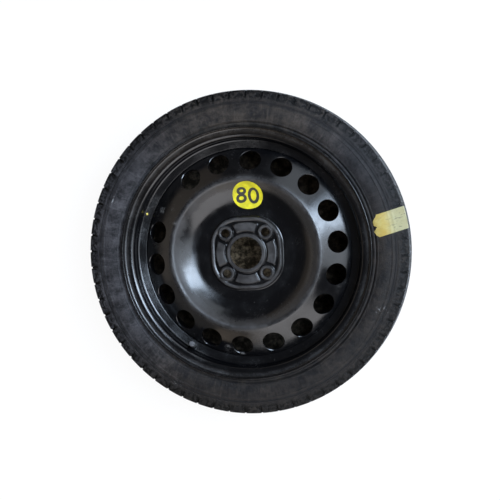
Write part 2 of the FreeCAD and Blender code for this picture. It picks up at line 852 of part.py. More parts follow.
def make_sticker(doc, s):
    """Round speed label on the wall of the bowl."""
    line = disc_lines(s)
    half = s["bowl_radius"] * sin(s["sticker_arc"] / 2)
    inner_face = s["bowl_radius"] - s["sticker_glue"]
    outer_face = inner_face - s["sticker_film"]
    lean = s["bowl_angle"] * s["sticker_share"]
    top = s["bowl_angle"] + s["sticker_spare"] - 90
    middle = line["valley"] + s["bowl_radius"] * sin(lean)
    middle_z = line["bowl_z"] - s["bowl_radius"] * cos(lean)
    body = make_body(doc, "speed_sticker", placement(0, 0, 0, ("z", s["sticker_angle"])))
    section = make_sketch(body, "section", "XZ_Plane")
    bowl_centre = (line["valley"], line["bowl_z"])
    add_outline(section, [
        *flats(bowl_centre, inner_face, -90, top, 5),
        *flats(bowl_centre, outer_face, top, -90, 5),
    ])
    revolve(body, section, as_size(60))
    trim = make_sketch(body, "trim", "XY_Plane", placement(middle, 0, middle_z, ("y", -lean)))
    add_circle(trim, 0, 0, half)
    add_circle(trim, 0, 0, half * 4)
    extrude(body, trim, half * 4, kind="Pocket", both=True)
    return body


def make_tape(doc, s):
    """Strip of paper tape up the sidewall, over the shoulder and onto the tread, torn at its inner end."""
    tyre = tyre_lines(s)
    tread = tyre["tread"]
    under, over = s["tape_glue"], s["tape_glue"] + s["tape_film"]
    start = rim_lines(s)["flange"] + tyre["section"] * s["tape_start_share"]
    edge_z = tyre["edge_z"]
    lap_z = edge_z - s["tape_lap"]
    arc, arc_centre = tyre["arc"], (tyre["widest"], tyre["arc_z"])
    inner_end, outer_end = tyre["sidewall_angle"](start), tyre["sidewall_angle"](tyre["shoulder"])
    body = make_body(doc, "paper_tape", placement(0, 0, 0, ("z", s["tape_angle"])))
    section = make_sketch(body, "section", "XZ_Plane")
    add_outline(section, [
        *flats(arc_centre, arc + under, inner_end, outer_end, 5),
        (tread(edge_z) + under, edge_z + under),
        (tread(lap_z) + under, lap_z),
        (tread(lap_z) + over, lap_z),
        (tread(edge_z) + over, edge_z + over),
        *flats(arc_centre, arc + over, outer_end, inner_end, 5),
    ])
    revolve(body, section, as_size(24))
    half = s["tape_width"] / 2
    middle = tyre["widest"]
    reach = s["tyre_diameter"] / 2
    tear = s["tape_tear"]
    inner = start - middle
    trim = make_sketch(body, "trim", "XY_Plane", placement(middle, 0, 0, ("z", s["tape_skew"])))
    add_outline(trim, [
        (inner + tear, half),
        (inner + tear * 0.22, half * 0.44),
        (inner + tear * 0.21, half * 0.1),
        (inner + tear * 0.6, half * -0.08),
        (inner, half * -0.42),
        (inner + tear * 0.15, half * -0.72),
        (inner + tear * 0.5, -half),
        (reach, -half),
        (reach, half),
    ])
    add_outline(trim, [(reach * 2, reach), (-reach, reach), (-reach, -reach), (reach * 2, -reach)])
    extrude(body, trim, s["tyre_width"] * 2, kind="Pocket", both=True)
    return body


def check(doc, pieces):
    """Stops the run if an object failed or a piece's shape can't be used."""
    for item in doc.Objects:
        if {"Invalid", "Error"} & set(item.State):
            raise RuntimeError(f"{item.Label} failed: {item.State} {item.getStatusString()}")
    for piece in pieces:
        if piece.Shape.isNull() or not piece.Shape.isValid() or not piece.Shape.Solids:
            raise RuntimeError(f"{piece.Label} has no usable shape")


def main():
    doc = FreeCAD.newDocument("spare_wheel")
    s = make_sheet(doc)
    makers = (
        make_tyre, make_rim, make_disc, make_welds,
        make_valve_body, make_stem, make_core_plug, make_core_pin,
        make_core_seal, make_core_spring, make_cap, make_sticker, make_tape,
    )
    pieces = [make(doc, s) for make in makers]
    doc.recompute()
    check(doc, pieces)
    os.makedirs("parts", exist_ok=True)
    for piece in pieces:
        piece.Shape.exportStep(f"parts/{piece.Label}.step")


main()
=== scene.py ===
import math

import bmesh
import bpy
from mathutils import Matrix, Vector


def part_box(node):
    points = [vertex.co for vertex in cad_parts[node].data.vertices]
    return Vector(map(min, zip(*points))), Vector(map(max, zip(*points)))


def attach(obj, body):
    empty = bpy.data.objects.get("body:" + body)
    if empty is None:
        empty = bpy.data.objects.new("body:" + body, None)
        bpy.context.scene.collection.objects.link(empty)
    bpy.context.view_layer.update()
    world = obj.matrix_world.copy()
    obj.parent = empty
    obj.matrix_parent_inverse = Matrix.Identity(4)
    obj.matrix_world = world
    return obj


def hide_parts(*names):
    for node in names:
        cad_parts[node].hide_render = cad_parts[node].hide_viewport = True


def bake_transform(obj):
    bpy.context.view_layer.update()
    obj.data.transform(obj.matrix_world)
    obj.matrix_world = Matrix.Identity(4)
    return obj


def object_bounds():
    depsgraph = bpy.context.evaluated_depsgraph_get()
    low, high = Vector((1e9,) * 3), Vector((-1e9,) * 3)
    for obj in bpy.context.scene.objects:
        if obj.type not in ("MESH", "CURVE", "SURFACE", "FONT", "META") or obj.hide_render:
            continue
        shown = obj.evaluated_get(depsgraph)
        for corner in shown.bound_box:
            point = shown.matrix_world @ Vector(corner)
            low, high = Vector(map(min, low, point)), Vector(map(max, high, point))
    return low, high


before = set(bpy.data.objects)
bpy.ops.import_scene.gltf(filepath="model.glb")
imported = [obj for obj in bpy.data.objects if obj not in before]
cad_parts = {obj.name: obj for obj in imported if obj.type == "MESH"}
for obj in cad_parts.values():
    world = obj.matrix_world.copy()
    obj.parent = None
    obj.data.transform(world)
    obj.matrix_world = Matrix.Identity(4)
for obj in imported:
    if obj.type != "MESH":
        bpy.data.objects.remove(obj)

CAD_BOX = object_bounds()
MM = 0.001

# Sizes that the frame gives, in millimetres
TYRE_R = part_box("tyre")[1][0] / MM
TYRE_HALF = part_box("tyre")[1][2] / MM
FLANGE_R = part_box("rim")[1][0] / MM
LIP_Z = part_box("rim")[1][2] / MM
SKIRT_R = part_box("wheel_disc")[1][0] / MM
SKIRT_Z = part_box("wheel_disc")[0][2] / MM
FLOOR_Z = CAD_BOX[0][2]

# Rim, as in the solids
RIM_HALF, SEAT_R, RIM_SHEET = 50.8, 202.8, 2.4
CURL_R, HEEL_R = 9.5, 5.6
SEAT_END_R, SEAT_END_Z = 201.56, 31.0
WELL_R, WELL_FRONT_Z, WELL_BACK_Z = 185.5, 27.29, -11.86
FRONT_STEP, BACK_STEP = 1.91, 0.87
RIM_COLUMNS = 288

# Tyre, as in the solids; a groove's side is half its width at each depth
SECTION = TYRE_R - FLANGE_R
WIDEST_R, SHOULDER_R = FLANGE_R + SECTION * 0.36, FLANGE_R + SECTION * 0.69
BEAD_R, BEAD_LEAN = FLANGE_R - 3.5, 0.95
TOE_R, TOE_WIDTH = SEAT_R - 0.55, 13.0
WALL, CROWN_WALL = 6.0, 11.5
TREAD_HALF, TREAD_ARC = 50.0, 417.0
GROOVE_PITCH, GROOVE_SIDE = 22.0, ((3.9, 0.0), (3.5, 0.5), (3.2, 4.2), (2.4, 5.0))
NOTCHES, NOTCH_WIDTH, NOTCH_DEPTH, NOTCH_LENGTH = 60, 3.5, 2.2, 13.0

# Tyre, in the scene alone: rings of the sidewall (radius, width, height), and notches down the shoulder
RIDGE_R = 254.5
SIDEWALL_RINGS = (
    (222.5, 4.0, 0.7), (226.2, 2.2, -1.3), (229.5, 1.6, 0.5),
    (RIDGE_R, 2.4, 0.6), (261.4, 3.4, 0.8), (264.8, 2.2, -0.6),
)
RING_FLAT, RING_REACH = 0.25, 1.6
LUG_FROM_R, LUG_FULL_R, LUG_DEPTH = 270.5, 274.0, 2.6

# Rows of points along the tyre's section
SIDEWALL_STEP = 0.95
SHOULDER_SHARES = (0.0, 0.06, 0.3, 0.55, 0.8, 0.93)
TREAD_ROWS = (48.0, 45.0, 41.0, TREAD_HALF - NOTCH_LENGTH, 33.0, 29.0)

# Disc, as in the solids
BORE_R, VALLEY_R, VALLEY_Z = 28.3, 76.0, 38.5
DISC_SHEET, BOWL_R, BOWL_ANGLE = 3.5, 68.6, math.radians(45)
CROWN_R, CONE_ANGLE, BEND_R = 9.0, math.radians(31), 6.0
BLANK_ANGLE = math.radians(147.6)
VENT_R, VENT_CIRCLE_R, VENT_PLACES = 19.0, 162.0, 18
BOLT_R, BOLT_CIRCLE_R, BOLT_ANGLE = 7.0, 50.0, math.radians(47.6)
PLATEAU_HALF, PLATEAU_CORNER, PLATEAU_RISE = 61.0, 48.0, 5.0

# Disc, in the scene alone: a quicker bend at the bowl's foot, deeper grooves and broken edges of the vents
FOOT_START_R, FOOT_END_R, FOOT_ANGLE = 83.5, 91.0, math.radians(14.3)
PLATEAU_GROOVE, VENT_EDGE, BOLT_EDGE = 1.0, 0.9, 0.01

# Slopes of the hub's raised parts, each from its start to its end: outwards from the plateau's outline,
# from the axis, in degrees from the middle of a land, and from the middle of a bolt hole
PLATEAU_SLOPE, BEAD_INSIDE, BEAD_OUTSIDE = (-0.2, 4.6), (-5.2, -2.6), (0.2, 3.0)
COLLAR_SLOPE, LAND_INSIDE, LAND_OUTSIDE = (33.4, 35.6), (37.4, 39.4), (52.6, 54.8)
LAND_SIDES, BOSS_SLOPE = (22.6, 25.0), (11.8, 14.0)
BEAD_RISE, COLLAR_RISE, LAND_RISE, BOSS_RISE = 1.4, 1.8, 1.6, 3.0
BOLT_SEAT_R, BOLT_SEAT_FLOOR_R, BOLT_SEAT_ANGLE = 8.6, 6.0, math.radians(30)

# Rows of points along the disc's section and about it, and lengths of the cutters
HUB_ROWS, BOWL_STEPS, CROWN_STEPS, CONE_ROWS, BEND_STEPS, SKIRT_ROW = 50, 32, 14, 8, 6, 12
DISC_COLUMNS, PUNCH_SIDES = 320, 72
VENT_PUNCH, BOLT_PUNCH = 24, 30

# Valve, as in the solids, with heights along its own axis
VALVE_ANGLE, VALVE_LEAN = math.radians(239.4), math.radians(13)
VALVE_FOOT = Vector((191.9, 0, 31.23))
STEM_R, STEM_BORE_R, STEM_FOOT, STEM_TOP = 3.84, 1.3, -6.5, 24.9
CORE_BORE_R, CORE_BORE_FOOT = 2.4, 9
SLEEVE_R, SLEEVE_BORE_R, SLEEVE_TOP = 5.2, 3.85, 17.4
BULGE_R, NECK_R = 6.6, 5.7
CAP_R, CAP_BORE_R, CAP_FOOT, CAP_CEILING, CAP_TOP = 4.72, 3.97, 17.8, 26.3, 27.95
SPRING_FOOT, SPRING_HEAD, SPRING_TURNS, SPRING_R, WIRE_R = 13.6, 17.8, 3, 1.075, 0.13

# Valve, in the scene alone: the stem's thread and the cap's flutes
THREAD_FOOT, THREAD_PITCH, THREAD_TURNS, THREAD_ROOT_R, THREAD_ROUND = 17.9, 0.84, 8, 3.45, 0.06
FLUTES, FLUTE_DEPTH, FLUTE_START, FLUTE_END = 24, 0.28, (18.2, 19.0), (25.4, 26.4)
CAP_ROWS = (18.9, 20.5, 22.5, 24.5, 26.2)

# Label and tape, as in the solids
LABEL_R, LABEL_ANGLE, LABEL_LEAN = 27.0, math.radians(88.4), BOWL_ANGLE * 0.52
LABEL_GLUE, LABEL_TOP, LABEL_ROWS = 0.15, 0.35, 12
TAPE_HALF, TAPE_ANGLE, TAPE_SKEW = 19.0, math.radians(12.4), math.radians(5.8)
TAPE_START_R, TAPE_TEAR, TAPE_LAP = FLANGE_R + SECTION * 0.076, 12.0, 14.0
TAPE_GLUE, TAPE_FILM = 0.3, 0.2

# Label, in the scene alone: middle and half sizes of the rings that make up its two digits, and their ink
DIGIT_RINGS = (((-11.0, 5.6), 8.6, 7.8), ((-11.0, -8.2), 9.5, 8.6), ((10.4, -1.3), 10.2, 15.2))
DIGIT_STROKE, DIGIT_TILT = 5.2, math.radians(-2)
INK_FOOT, INK_CREST = LABEL_TOP - 0.03, LABEL_TOP + 0.04

# Tape, in the scene alone: its torn end as shares of its half width and of the tear's depth, and its rows
TEAR_LINE = (
    (-1.0, 0.5), (-0.72, 0.15), (-0.42, 0.0), (-0.08, 0.6), (0.1, 0.21), (0.44, 0.22), (1.0, 1.0),
)
TAPE_COLUMNS, TAPE_ROWS, TAPE_LAP_ROWS, TAPE_STEP = 48, 36, 6, 0.05

# The photograph's camera, in pixels and millimetres
PHOTO_PIXELS, FOCAL_PIXELS = 500.0, 1024.0
EYE, TARGET = Vector((320.2, 116.9, 1798.5)), Vector((4.49, 4.46, 30.0))


def smooth(edge0, edge1, value):
    """0 before edge0, 1 after edge1 and an even ease between them."""
    share = min(max((value - edge0) / (edge1 - edge0), 0.0), 1.0)
    return share * share * (3 - 2 * share)


def finish_mesh(mesh, sharp_degrees=38):
    """Faces outwards, smooth but for the edges sharper than an angle."""
    work = bmesh.new()
    work.from_mesh(mesh)
    bmesh.ops.recalc_face_normals(work, faces=work.faces)
    work.to_mesh(mesh)
    work.free()
    mesh.polygons.foreach_set("use_smooth", [True] * len(mesh.polygons))
    mesh.set_sharp_from_angle(angle=math.radians(sharp_degrees))


def add_object(name, data):
    """A new object in the scene."""
    item = bpy.data.objects.new(name, data)
    bpy.context.scene.collection.objects.link(item)
    return item


def add_piece(name, mesh, material, body, node):
    """A piece of the wheel that rides on a body and stands for a node of the frame."""
    piece = add_object(name, mesh)
    mesh.materials.clear()
    mesh.materials.append(material)
    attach(piece, body)
    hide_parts(node)


def round_point(across, angle, up):
    """A place about the wheel's axis, from millimetres to metres."""
    return Vector((across * math.cos(angle) * MM, across * math.sin(angle) * MM, up * MM))


def rounded(corners, step=math.radians(11)):
    """A closed line through corners (across, up, radius), each rounded to its radius."""
    line = []
    count = len(corners)
    for index, (across, up, radius) in enumerate(corners):
        here = Vector((across, up))
        back = Vector(corners[index - 1][:2]) - here
        ahead = Vector(corners[(index + 1) % count][:2]) - here
        opening = back.angle(ahead)
        reach = min(radius / math.tan(opening / 2), 0.49 * back.length, 0.49 * ahead.length)
        if reach < 1e-4:
            line.append((across, up))
            continue
        true_radius = reach * math.tan(opening / 2)
        middle = (back.normalized() + ahead.normalized()).normalized()
        centre = here + middle * (true_radius / math.sin(opening / 2))
        start = here + back.normalized() * reach - centre
        end = here + ahead.normalized() * reach - centre
        sweep = math.atan2(start.x * end.y - start.y * end.x, start.dot(end))
        steps = max(2, math.ceil(abs(sweep) / step))
        for part in range(steps + 1):
            turn = Matrix.Rotation(sweep * part / steps, 2)
            point = centre + turn @ start
            line.append((point.x, point.y))
    return line


def lathe(name, line, angles, closed_line=True, shape=None):
    """A mesh of a line (across, up) turned to each of the angles about Z, in millimetres."""
    verts = []
    for angle in angles:
        for across, up in line:
            if shape:
                across, up = shape(across, up, angle)
            verts.append(round_point(across, angle, up))
    rows, columns = len(line), len(angles)
    faces = []
    for column in range(columns):
        after = (column + 1) % columns
        for row in range(rows if closed_line else rows - 1):
            next_row = (row + 1) % rows
            faces.append((
                column * rows + row, after * rows + row,
                after * rows + next_row, column * rows + next_row,
            ))
    mesh = bpy.data.meshes.new(name)
    mesh.from_pydata(verts, [], faces)
    return mesh


def even_angles(count):
    """Angles of equal steps round a full turn."""
    return [2 * math.pi * index / count for index in range(count)]


def make_rim(material):
    """The rolled hoop, with a bend at each corner of its section (across, up, bend)."""
    sheet = RIM_SHEET
    half, face, lip_round = RIM_HALF, RIM_HALF + RIM_SHEET, 0.8
    inside = SEAT_R - sheet
    inner_curl, bend = CURL_R - sheet, HEEL_R + sheet
    corners = [
        (FLANGE_R, LIP_Z, lip_round),
        (FLANGE_R, half, CURL_R),
        (SEAT_R, half, HEEL_R),
        (SEAT_END_R, SEAT_END_Z, 3),
        (WELL_R, WELL_FRONT_Z, 4),
        (WELL_R, WELL_BACK_Z, 8),
        (SEAT_END_R, -SEAT_END_Z, 6),
        (SEAT_R, -half, HEEL_R),
        (FLANGE_R, -half, CURL_R),
        (FLANGE_R, -LIP_Z, lip_round),
        (FLANGE_R - sheet, -LIP_Z, lip_round),
        (FLANGE_R - sheet, -face, inner_curl),
        (inside, -face, bend),
        (SEAT_END_R - sheet, -SEAT_END_Z - BACK_STEP, 8),
        (WELL_R - sheet, WELL_BACK_Z - BACK_STEP, 6),
        (WELL_R - sheet, WELL_FRONT_Z + FRONT_STEP, 2),
        (SEAT_END_R - sheet, SEAT_END_Z + FRONT_STEP, 5),
        (inside, face, bend),
        (FLANGE_R - sheet, face, inner_curl),
        (FLANGE_R - sheet, LIP_Z, lip_round),
    ]
    mesh = lathe("rim_hoop", rounded(corners), even_angles(RIM_COLUMNS))
    finish_mesh(mesh)
    add_piece("rim_hoop", mesh, material, "wheel", "rim")


def sidewall_z(across):
    """Height of the plain sidewall, an arc from the bead through the widest line."""
    bulge = TYRE_HALF - RIM_HALF - BEAD_LEAN
    arc = ((WIDEST_R - BEAD_R) ** 2 + bulge ** 2) / (2 * bulge)
    return TYRE_HALF - arc + math.sqrt(arc ** 2 - (across - WIDEST_R) ** 2)


def tread_r(up):
    """Radius of the crowned tread."""
    return TYRE_R - up * up / (2 * TREAD_ARC)


def ring_relief(across):
    """How far the sidewall's rings stand out."""
    relief = 0.0
    for radius, width, height in SIDEWALL_RINGS:
        relief += height * (1 - smooth(RING_FLAT, 1.0, abs(across - radius) / width * RING_REACH))
    return relief


def tyre_line():
    """The tyre's section: outer half, tread with its grooves, the other half and the lining."""
    def side(sign):
        line = [
            (SEAT_R + 0.1, RIM_HALF - HEEL_R), (SEAT_R + 1.8, RIM_HALF - 1.8), (SEAT_R + HEEL_R, RIM_HALF),
            (FLANGE_R - CURL_R, RIM_HALF), (BEAD_R - 3, RIM_HALF + BEAD_LEAN / 2),
        ]
        across = BEAD_R
        while across < SHOULDER_R:
            line.append((across, sidewall_z(across) + ring_relief(across)))
            across += SIDEWALL_STEP
        shoulder = Vector((SHOULDER_R, sidewall_z(SHOULDER_R)))
        edge = Vector((tread_r(TREAD_HALF), TREAD_HALF))
        for share in SHOULDER_SHARES:
            point = shoulder.lerp(edge, share)
            line.append((point.x, point.y))
        line.append((edge.x - 0.2, edge.y - 0.6))
        for up in TREAD_ROWS:
            line.append((tread_r(up), up))
        return [(across, up * sign) for across, up in line]

    def groove(middle):
        far_side = [(-offset, depth) for offset, depth in reversed(GROOVE_SIDE)]
        return [
            (tread_r(middle + offset) - depth, middle + offset)
            for offset, depth in [*GROOVE_SIDE, *far_side]
        ]

    toe_z, wall_z = RIM_HALF - TOE_WIDTH, TYRE_HALF - WALL
    crown_r, crown_z, rib = TYRE_R - CROWN_WALL, TREAD_HALF - WALL, GROOVE_PITCH / 2
    tread = [
        *groove(GROOVE_PITCH), (tread_r(rib), rib), *groove(0), (tread_r(rib), -rib), *groove(-GROOVE_PITCH),
    ]
    lining = [
        (TOE_R, -toe_z), (WIDEST_R, -wall_z), (crown_r, -crown_z),
        (crown_r, crown_z), (WIDEST_R, wall_z), (TOE_R, toe_z),
    ]
    return side(1) + tread + side(-1)[::-1] + lining


def make_tyre(material):
    """The tyre with its sidewall rings, tread grooves and shoulder notches."""
    pitch = 2 * math.pi / NOTCHES
    half_notch = NOTCH_WIDTH / 2 / TYRE_R
    notch_from = TREAD_HALF - NOTCH_LENGTH
    notch_columns = (-1.06, -1.0, 1.0, 1.06)
    block_columns = (0.22, 0.36, 0.5, 0.64, 0.78)
    angles = []
    for index in range(NOTCHES):
        start = index * pitch
        angles += [start + share * half_notch for share in notch_columns]
        angles += [start + share * pitch for share in block_columns]
    fall = (tread_r(notch_from) - tread_r(TREAD_HALF) + NOTCH_DEPTH) / NOTCH_LENGTH

    def cut_notch(across, up, angle):
        away = abs((angle + pitch / 2) % pitch - pitch / 2)
        if across < SHOULDER_R + 0.5 or abs(up) < notch_from or away > half_notch * 1.01:
            return across, up
        limit = tread_r(notch_from) - fall * (abs(up) - notch_from)
        if abs(up) > TREAD_HALF - 1:
            up -= math.copysign(LUG_DEPTH * smooth(LUG_FROM_R, LUG_FULL_R, across), up)
        return min(across, limit), up

    mesh = lathe("tyre_casing", tyre_line(), angles, shape=cut_notch)
    finish_mesh(mesh, sharp_degrees=32)
    add_piece("tyre_casing", mesh, material, "wheel", "tyre")


def bowl_line():
    """The bowl's wall from the valley to the crown: a quick bend, then an even sweep upwards."""
    end = VALLEY_R + BOWL_R * math.sin(BOWL_ANGLE)
    step = (end - VALLEY_R) / BOWL_STEPS
    line, rise = [], 0.0
    for part in range(BOWL_STEPS + 1):
        line.append((VALLEY_R + step * part, rise))
        middle = VALLEY_R + step * (part + 0.5)
        sweep = (BOWL_ANGLE - FOOT_ANGLE) * max(middle - FOOT_END_R, 0) / (end - FOOT_END_R)
        rise += step * math.tan(FOOT_ANGLE * smooth(FOOT_START_R, FOOT_END_R, middle) + sweep)
    scale = BOWL_R * (1 - math.cos(BOWL_ANGLE)) / line[-1][1]
    return [(across, VALLEY_Z + rise * scale) for across, rise in line]


BOWL_LINE = bowl_line()


def bowl_z(across):
    """Height of the bowl's wall."""
    share = (across - VALLEY_R) / (BOWL_LINE[-1][0] - VALLEY_R) * BOWL_STEPS
    index = min(max(int(share), 0), BOWL_STEPS - 1)
    low, high = BOWL_LINE[index][1], BOWL_LINE[index + 1][1]
    return low + (high - low) * (share - index)


def crown_middle():
    """Middle of the crown's arc, which goes on from the bowl's arc."""
    reach = BOWL_R + CROWN_R
    return VALLEY_R + reach * math.sin(BOWL_ANGLE), VALLEY_Z + BOWL_R - reach * math.cos(BOWL_ANGLE)


def disc_line():
    """The disc's outer face from the bore to the end of its skirt."""
    line = [(BORE_R + row * (VALLEY_R - BORE_R) / HUB_ROWS, VALLEY_Z) for row in range(HUB_ROWS)]
    line += BOWL_LINE
    crown, crown_z = crown_middle()
    for part in range(1, CROWN_STEPS + 1):
        angle = -BOWL_ANGLE + (BOWL_ANGLE + CONE_ANGLE) * part / CROWN_STEPS
        line.append((crown + CROWN_R * math.sin(angle), crown_z + CROWN_R * math.cos(angle)))
    cone, cone_z = line[-1]
    bend = SKIRT_R - BEND_R
    cone_end = bend + BEND_R * math.sin(CONE_ANGLE)
    for part in range(1, CONE_ROWS + 1):
        across = cone + (cone_end - cone) * part / CONE_ROWS
        line.append((across, cone_z - (across - cone) * math.tan(CONE_ANGLE)))
    bend_z = line[-1][1] - BEND_R * math.cos(CONE_ANGLE)
    for part in range(1, BEND_STEPS + 1):
        angle = CONE_ANGLE + (math.pi / 2 - CONE_ANGLE) * part / BEND_STEPS
        line.append((bend + BEND_R * math.sin(angle), bend_z + BEND_R * math.cos(angle)))
    line += [(SKIRT_R, bend_z - SKIRT_ROW), (SKIRT_R, SKIRT_Z)]
    return line


def hub_relief(across, angle):
    """Height of the pressed hub over the valley, and how far its paint is worn there, from 0 to 1."""
    turn = angle - BOLT_ANGLE + math.pi / 4
    x, y = abs(across * math.cos(turn)), abs(across * math.sin(turn))
    flat = PLATEAU_HALF - PLATEAU_CORNER
    outside = Vector((max(x - flat, 0), max(y - flat, 0))).length - PLATEAU_CORNER
    plateau = 1 - smooth(*PLATEAU_SLOPE, outside)
    bead = smooth(*BEAD_INSIDE, outside) * (1 - smooth(*BEAD_OUTSIDE, outside))
    collar = 1 - smooth(*COLLAR_SLOPE, across)
    quarter = (turn + math.pi / 4) % (math.pi / 2) - math.pi / 4
    land = smooth(*LAND_INSIDE, across) * (1 - smooth(*LAND_OUTSIDE, across))
    land *= 1 - smooth(*LAND_SIDES, abs(math.degrees(quarter)))
    bolt_turn = (angle - BOLT_ANGLE + math.pi / 4) % (math.pi / 2) - math.pi / 4
    to_bolt = math.hypot(across * math.cos(bolt_turn) - BOLT_CIRCLE_R, across * math.sin(bolt_turn))
    boss = 1 - smooth(*BOSS_SLOPE, to_bolt)
    raised = max(
        bead * BEAD_RISE,
        collar * (PLATEAU_GROOVE + COLLAR_RISE),
        land * (PLATEAU_GROOVE + LAND_RISE),
        boss * (PLATEAU_GROOVE + BOSS_RISE),
    )
    height = (PLATEAU_RISE - PLATEAU_GROOVE) * plateau + raised
    height -= max(BOLT_SEAT_R - max(to_bolt, BOLT_SEAT_FLOOR_R), 0) / math.tan(BOLT_SEAT_ANGLE)
    return height, max(bead, collar, land, boss)


def add_punch(work, radius, depth, edge, place):
    """A round cutter about the local Z axis that widens over the sheet's face to break the hole's edge."""
    wide = radius + 2 * edge
    rings = []
    for size, up in ((radius, -depth / 2), (radius, -edge), (wide, edge), (wide, depth / 2)):
        rings.append([
            work.verts.new(place @ round_point(size, angle, up)) for angle in even_angles(PUNCH_SIDES)
        ])
    for low, high in zip(rings, rings[1:]):
        for index in range(PUNCH_SIDES):
            after = (index + 1) % PUNCH_SIDES
            work.faces.new((low[index], low[after], high[after], high[index]))
    work.faces.new(rings[0][::-1])
    work.faces.new(rings[-1])


def disc_cutters():
    """One mesh of the cutters that make the vents and the bolt holes."""
    work = bmesh.new()
    crown, crown_z = crown_middle()
    cone, cone_z = crown + CROWN_R * math.sin(CONE_ANGLE), crown_z + CROWN_R * math.cos(CONE_ANGLE)
    vent_z = cone_z - (VENT_CIRCLE_R - cone) * math.tan(CONE_ANGLE)
    vent = Matrix.Translation((VENT_CIRCLE_R * MM, 0, vent_z * MM)) @ Matrix.Rotation(CONE_ANGLE, 4, "Y")
    for place in range(1, VENT_PLACES):
        turn = Matrix.Rotation(BLANK_ANGLE + 2 * math.pi * place / VENT_PLACES, 4, "Z")
        add_punch(work, VENT_R, VENT_PUNCH, VENT_EDGE, turn @ vent)
    bolt = Matrix.Translation((BOLT_CIRCLE_R * MM, 0, VALLEY_Z * MM))
    for quarter in range(4):
        turn = Matrix.Rotation(BOLT_ANGLE + math.pi / 2 * quarter, 4, "Z")
        add_punch(work, BOLT_R, BOLT_PUNCH, BOLT_EDGE, turn @ bolt)
    mesh = bpy.data.meshes.new("disc_cutters")
    work.to_mesh(mesh)
    work.free()
    return mesh


def make_disc(material):
    """The pressed disc: one sheet with soft press lines, then its holes punched through."""
    wear = []

    def press(across, up, angle):
        height, worn = hub_relief(across, angle) if across < VALLEY_R else (0.0, 0.0)
        wear.append(worn)
        return across, up + height

    mesh = lathe("pressed_disc", disc_line(), even_angles(DISC_COLUMNS), closed_line=False, shape=press)
    mesh.attributes.new("wear", "FLOAT", "POINT").data.foreach_set("value", wear)
    finish_mesh(mesh)
    sheet, cutters = add_object("disc_sheet", mesh), add_object("disc_cutters", disc_cutters())
    thick = sheet.modifiers.new("sheet", "SOLIDIFY")
    thick.thickness = DISC_SHEET * MM
    faces_up = sum(face.normal.z for face in mesh.polygons) > 0
    thick.offset = -1 if faces_up else 1
    punch = sheet.modifiers.new("holes", "BOOLEAN")
    punch.operation = "DIFFERENCE"
    punch.solver = "MANIFOLD"
    punch.object = cutters
    graph = bpy.context.evaluated_depsgraph_get()
    punched = bpy.data.meshes.new_from_object(sheet.evaluated_get(graph))
    for item in (sheet, cutters):
        bpy.data.objects.remove(item)
    punched.name = "pressed_disc"
    finish_mesh(punched, sharp_degrees=34)
    add_piece("pressed_disc", punched, material, "wheel", "wheel_disc")


VALVE_PLACE = (
    Matrix.Rotation(VALVE_ANGLE, 4, "Z")
    @ Matrix.Translation(VALVE_FOOT * MM)
    @ Matrix.Rotation(-VALVE_LEAN, 4, "Y")
)


def make_valve_piece(name, corners, material, body, node, shape=None, count=64):
    """A turned piece on the valve's axis, from its section's corners (across, up, bend)."""
    mesh = lathe(name, rounded(corners), even_angles(count), shape=shape)
    mesh.transform(VALVE_PLACE)
    finish_mesh(mesh)
    add_piece(name, mesh, material, body, node)


def make_valve(rubber, brass, plastic):
    """Snap-in valve: rubber with a bulged foot, threaded brass stem and a fluted dust cap."""
    make_valve_piece("valve_rubber", [
        (SLEEVE_BORE_R, STEM_FOOT, 0), (5.6, STEM_FOOT, 0.6), (BULGE_R, -2.7, 0.8), (NECK_R, -2.5, 0.3),
        (NECK_R, 0.15, 0.2), (BULGE_R, 0.15, 0.8), (BULGE_R, 3.2, 1.6), (SLEEVE_R, 8, 3),
        (SLEEVE_R, SLEEVE_TOP, 0.5), (SLEEVE_BORE_R, SLEEVE_TOP, 0),
    ], rubber, "wheel", "valve_body")
    thread = []
    for turn in range(THREAD_TURNS):
        crest = THREAD_FOOT + turn * THREAD_PITCH
        thread += [(STEM_R, crest, THREAD_ROUND), (THREAD_ROOT_R, crest + THREAD_PITCH / 2, THREAD_ROUND)]
    make_valve_piece("valve_tube", [
        (STEM_BORE_R, STEM_FOOT, 0), (STEM_R, STEM_FOOT, 0.3), *thread, (3.6, STEM_TOP, 0.2),
        (CORE_BORE_R, STEM_TOP, 0.2), (CORE_BORE_R, CORE_BORE_FOOT, 0), (STEM_BORE_R, CORE_BORE_FOOT, 0),
    ], brass, "wheel", "valve_stem")

    def flute(across, up, angle):
        if across < (CAP_R + CAP_BORE_R) / 2:
            return across, up
        grip = smooth(*FLUTE_START, up) * (1 - smooth(*FLUTE_END, up))
        return across - FLUTE_DEPTH * grip * (0.5 + 0.5 * math.cos(angle * FLUTES)), up

    make_valve_piece("dust_cap", [
        (CAP_BORE_R, CAP_FOOT, 0), (CAP_R, CAP_FOOT, 0.3), *((CAP_R, up, 0) for up in CAP_ROWS),
        (4.6, CAP_TOP, 1.2), (0.01, CAP_TOP, 0), (0.01, CAP_CEILING, 0), (CAP_BORE_R, CAP_CEILING, 0),
    ], plastic, "cap", "valve_cap", shape=flute, count=8 * FLUTES)


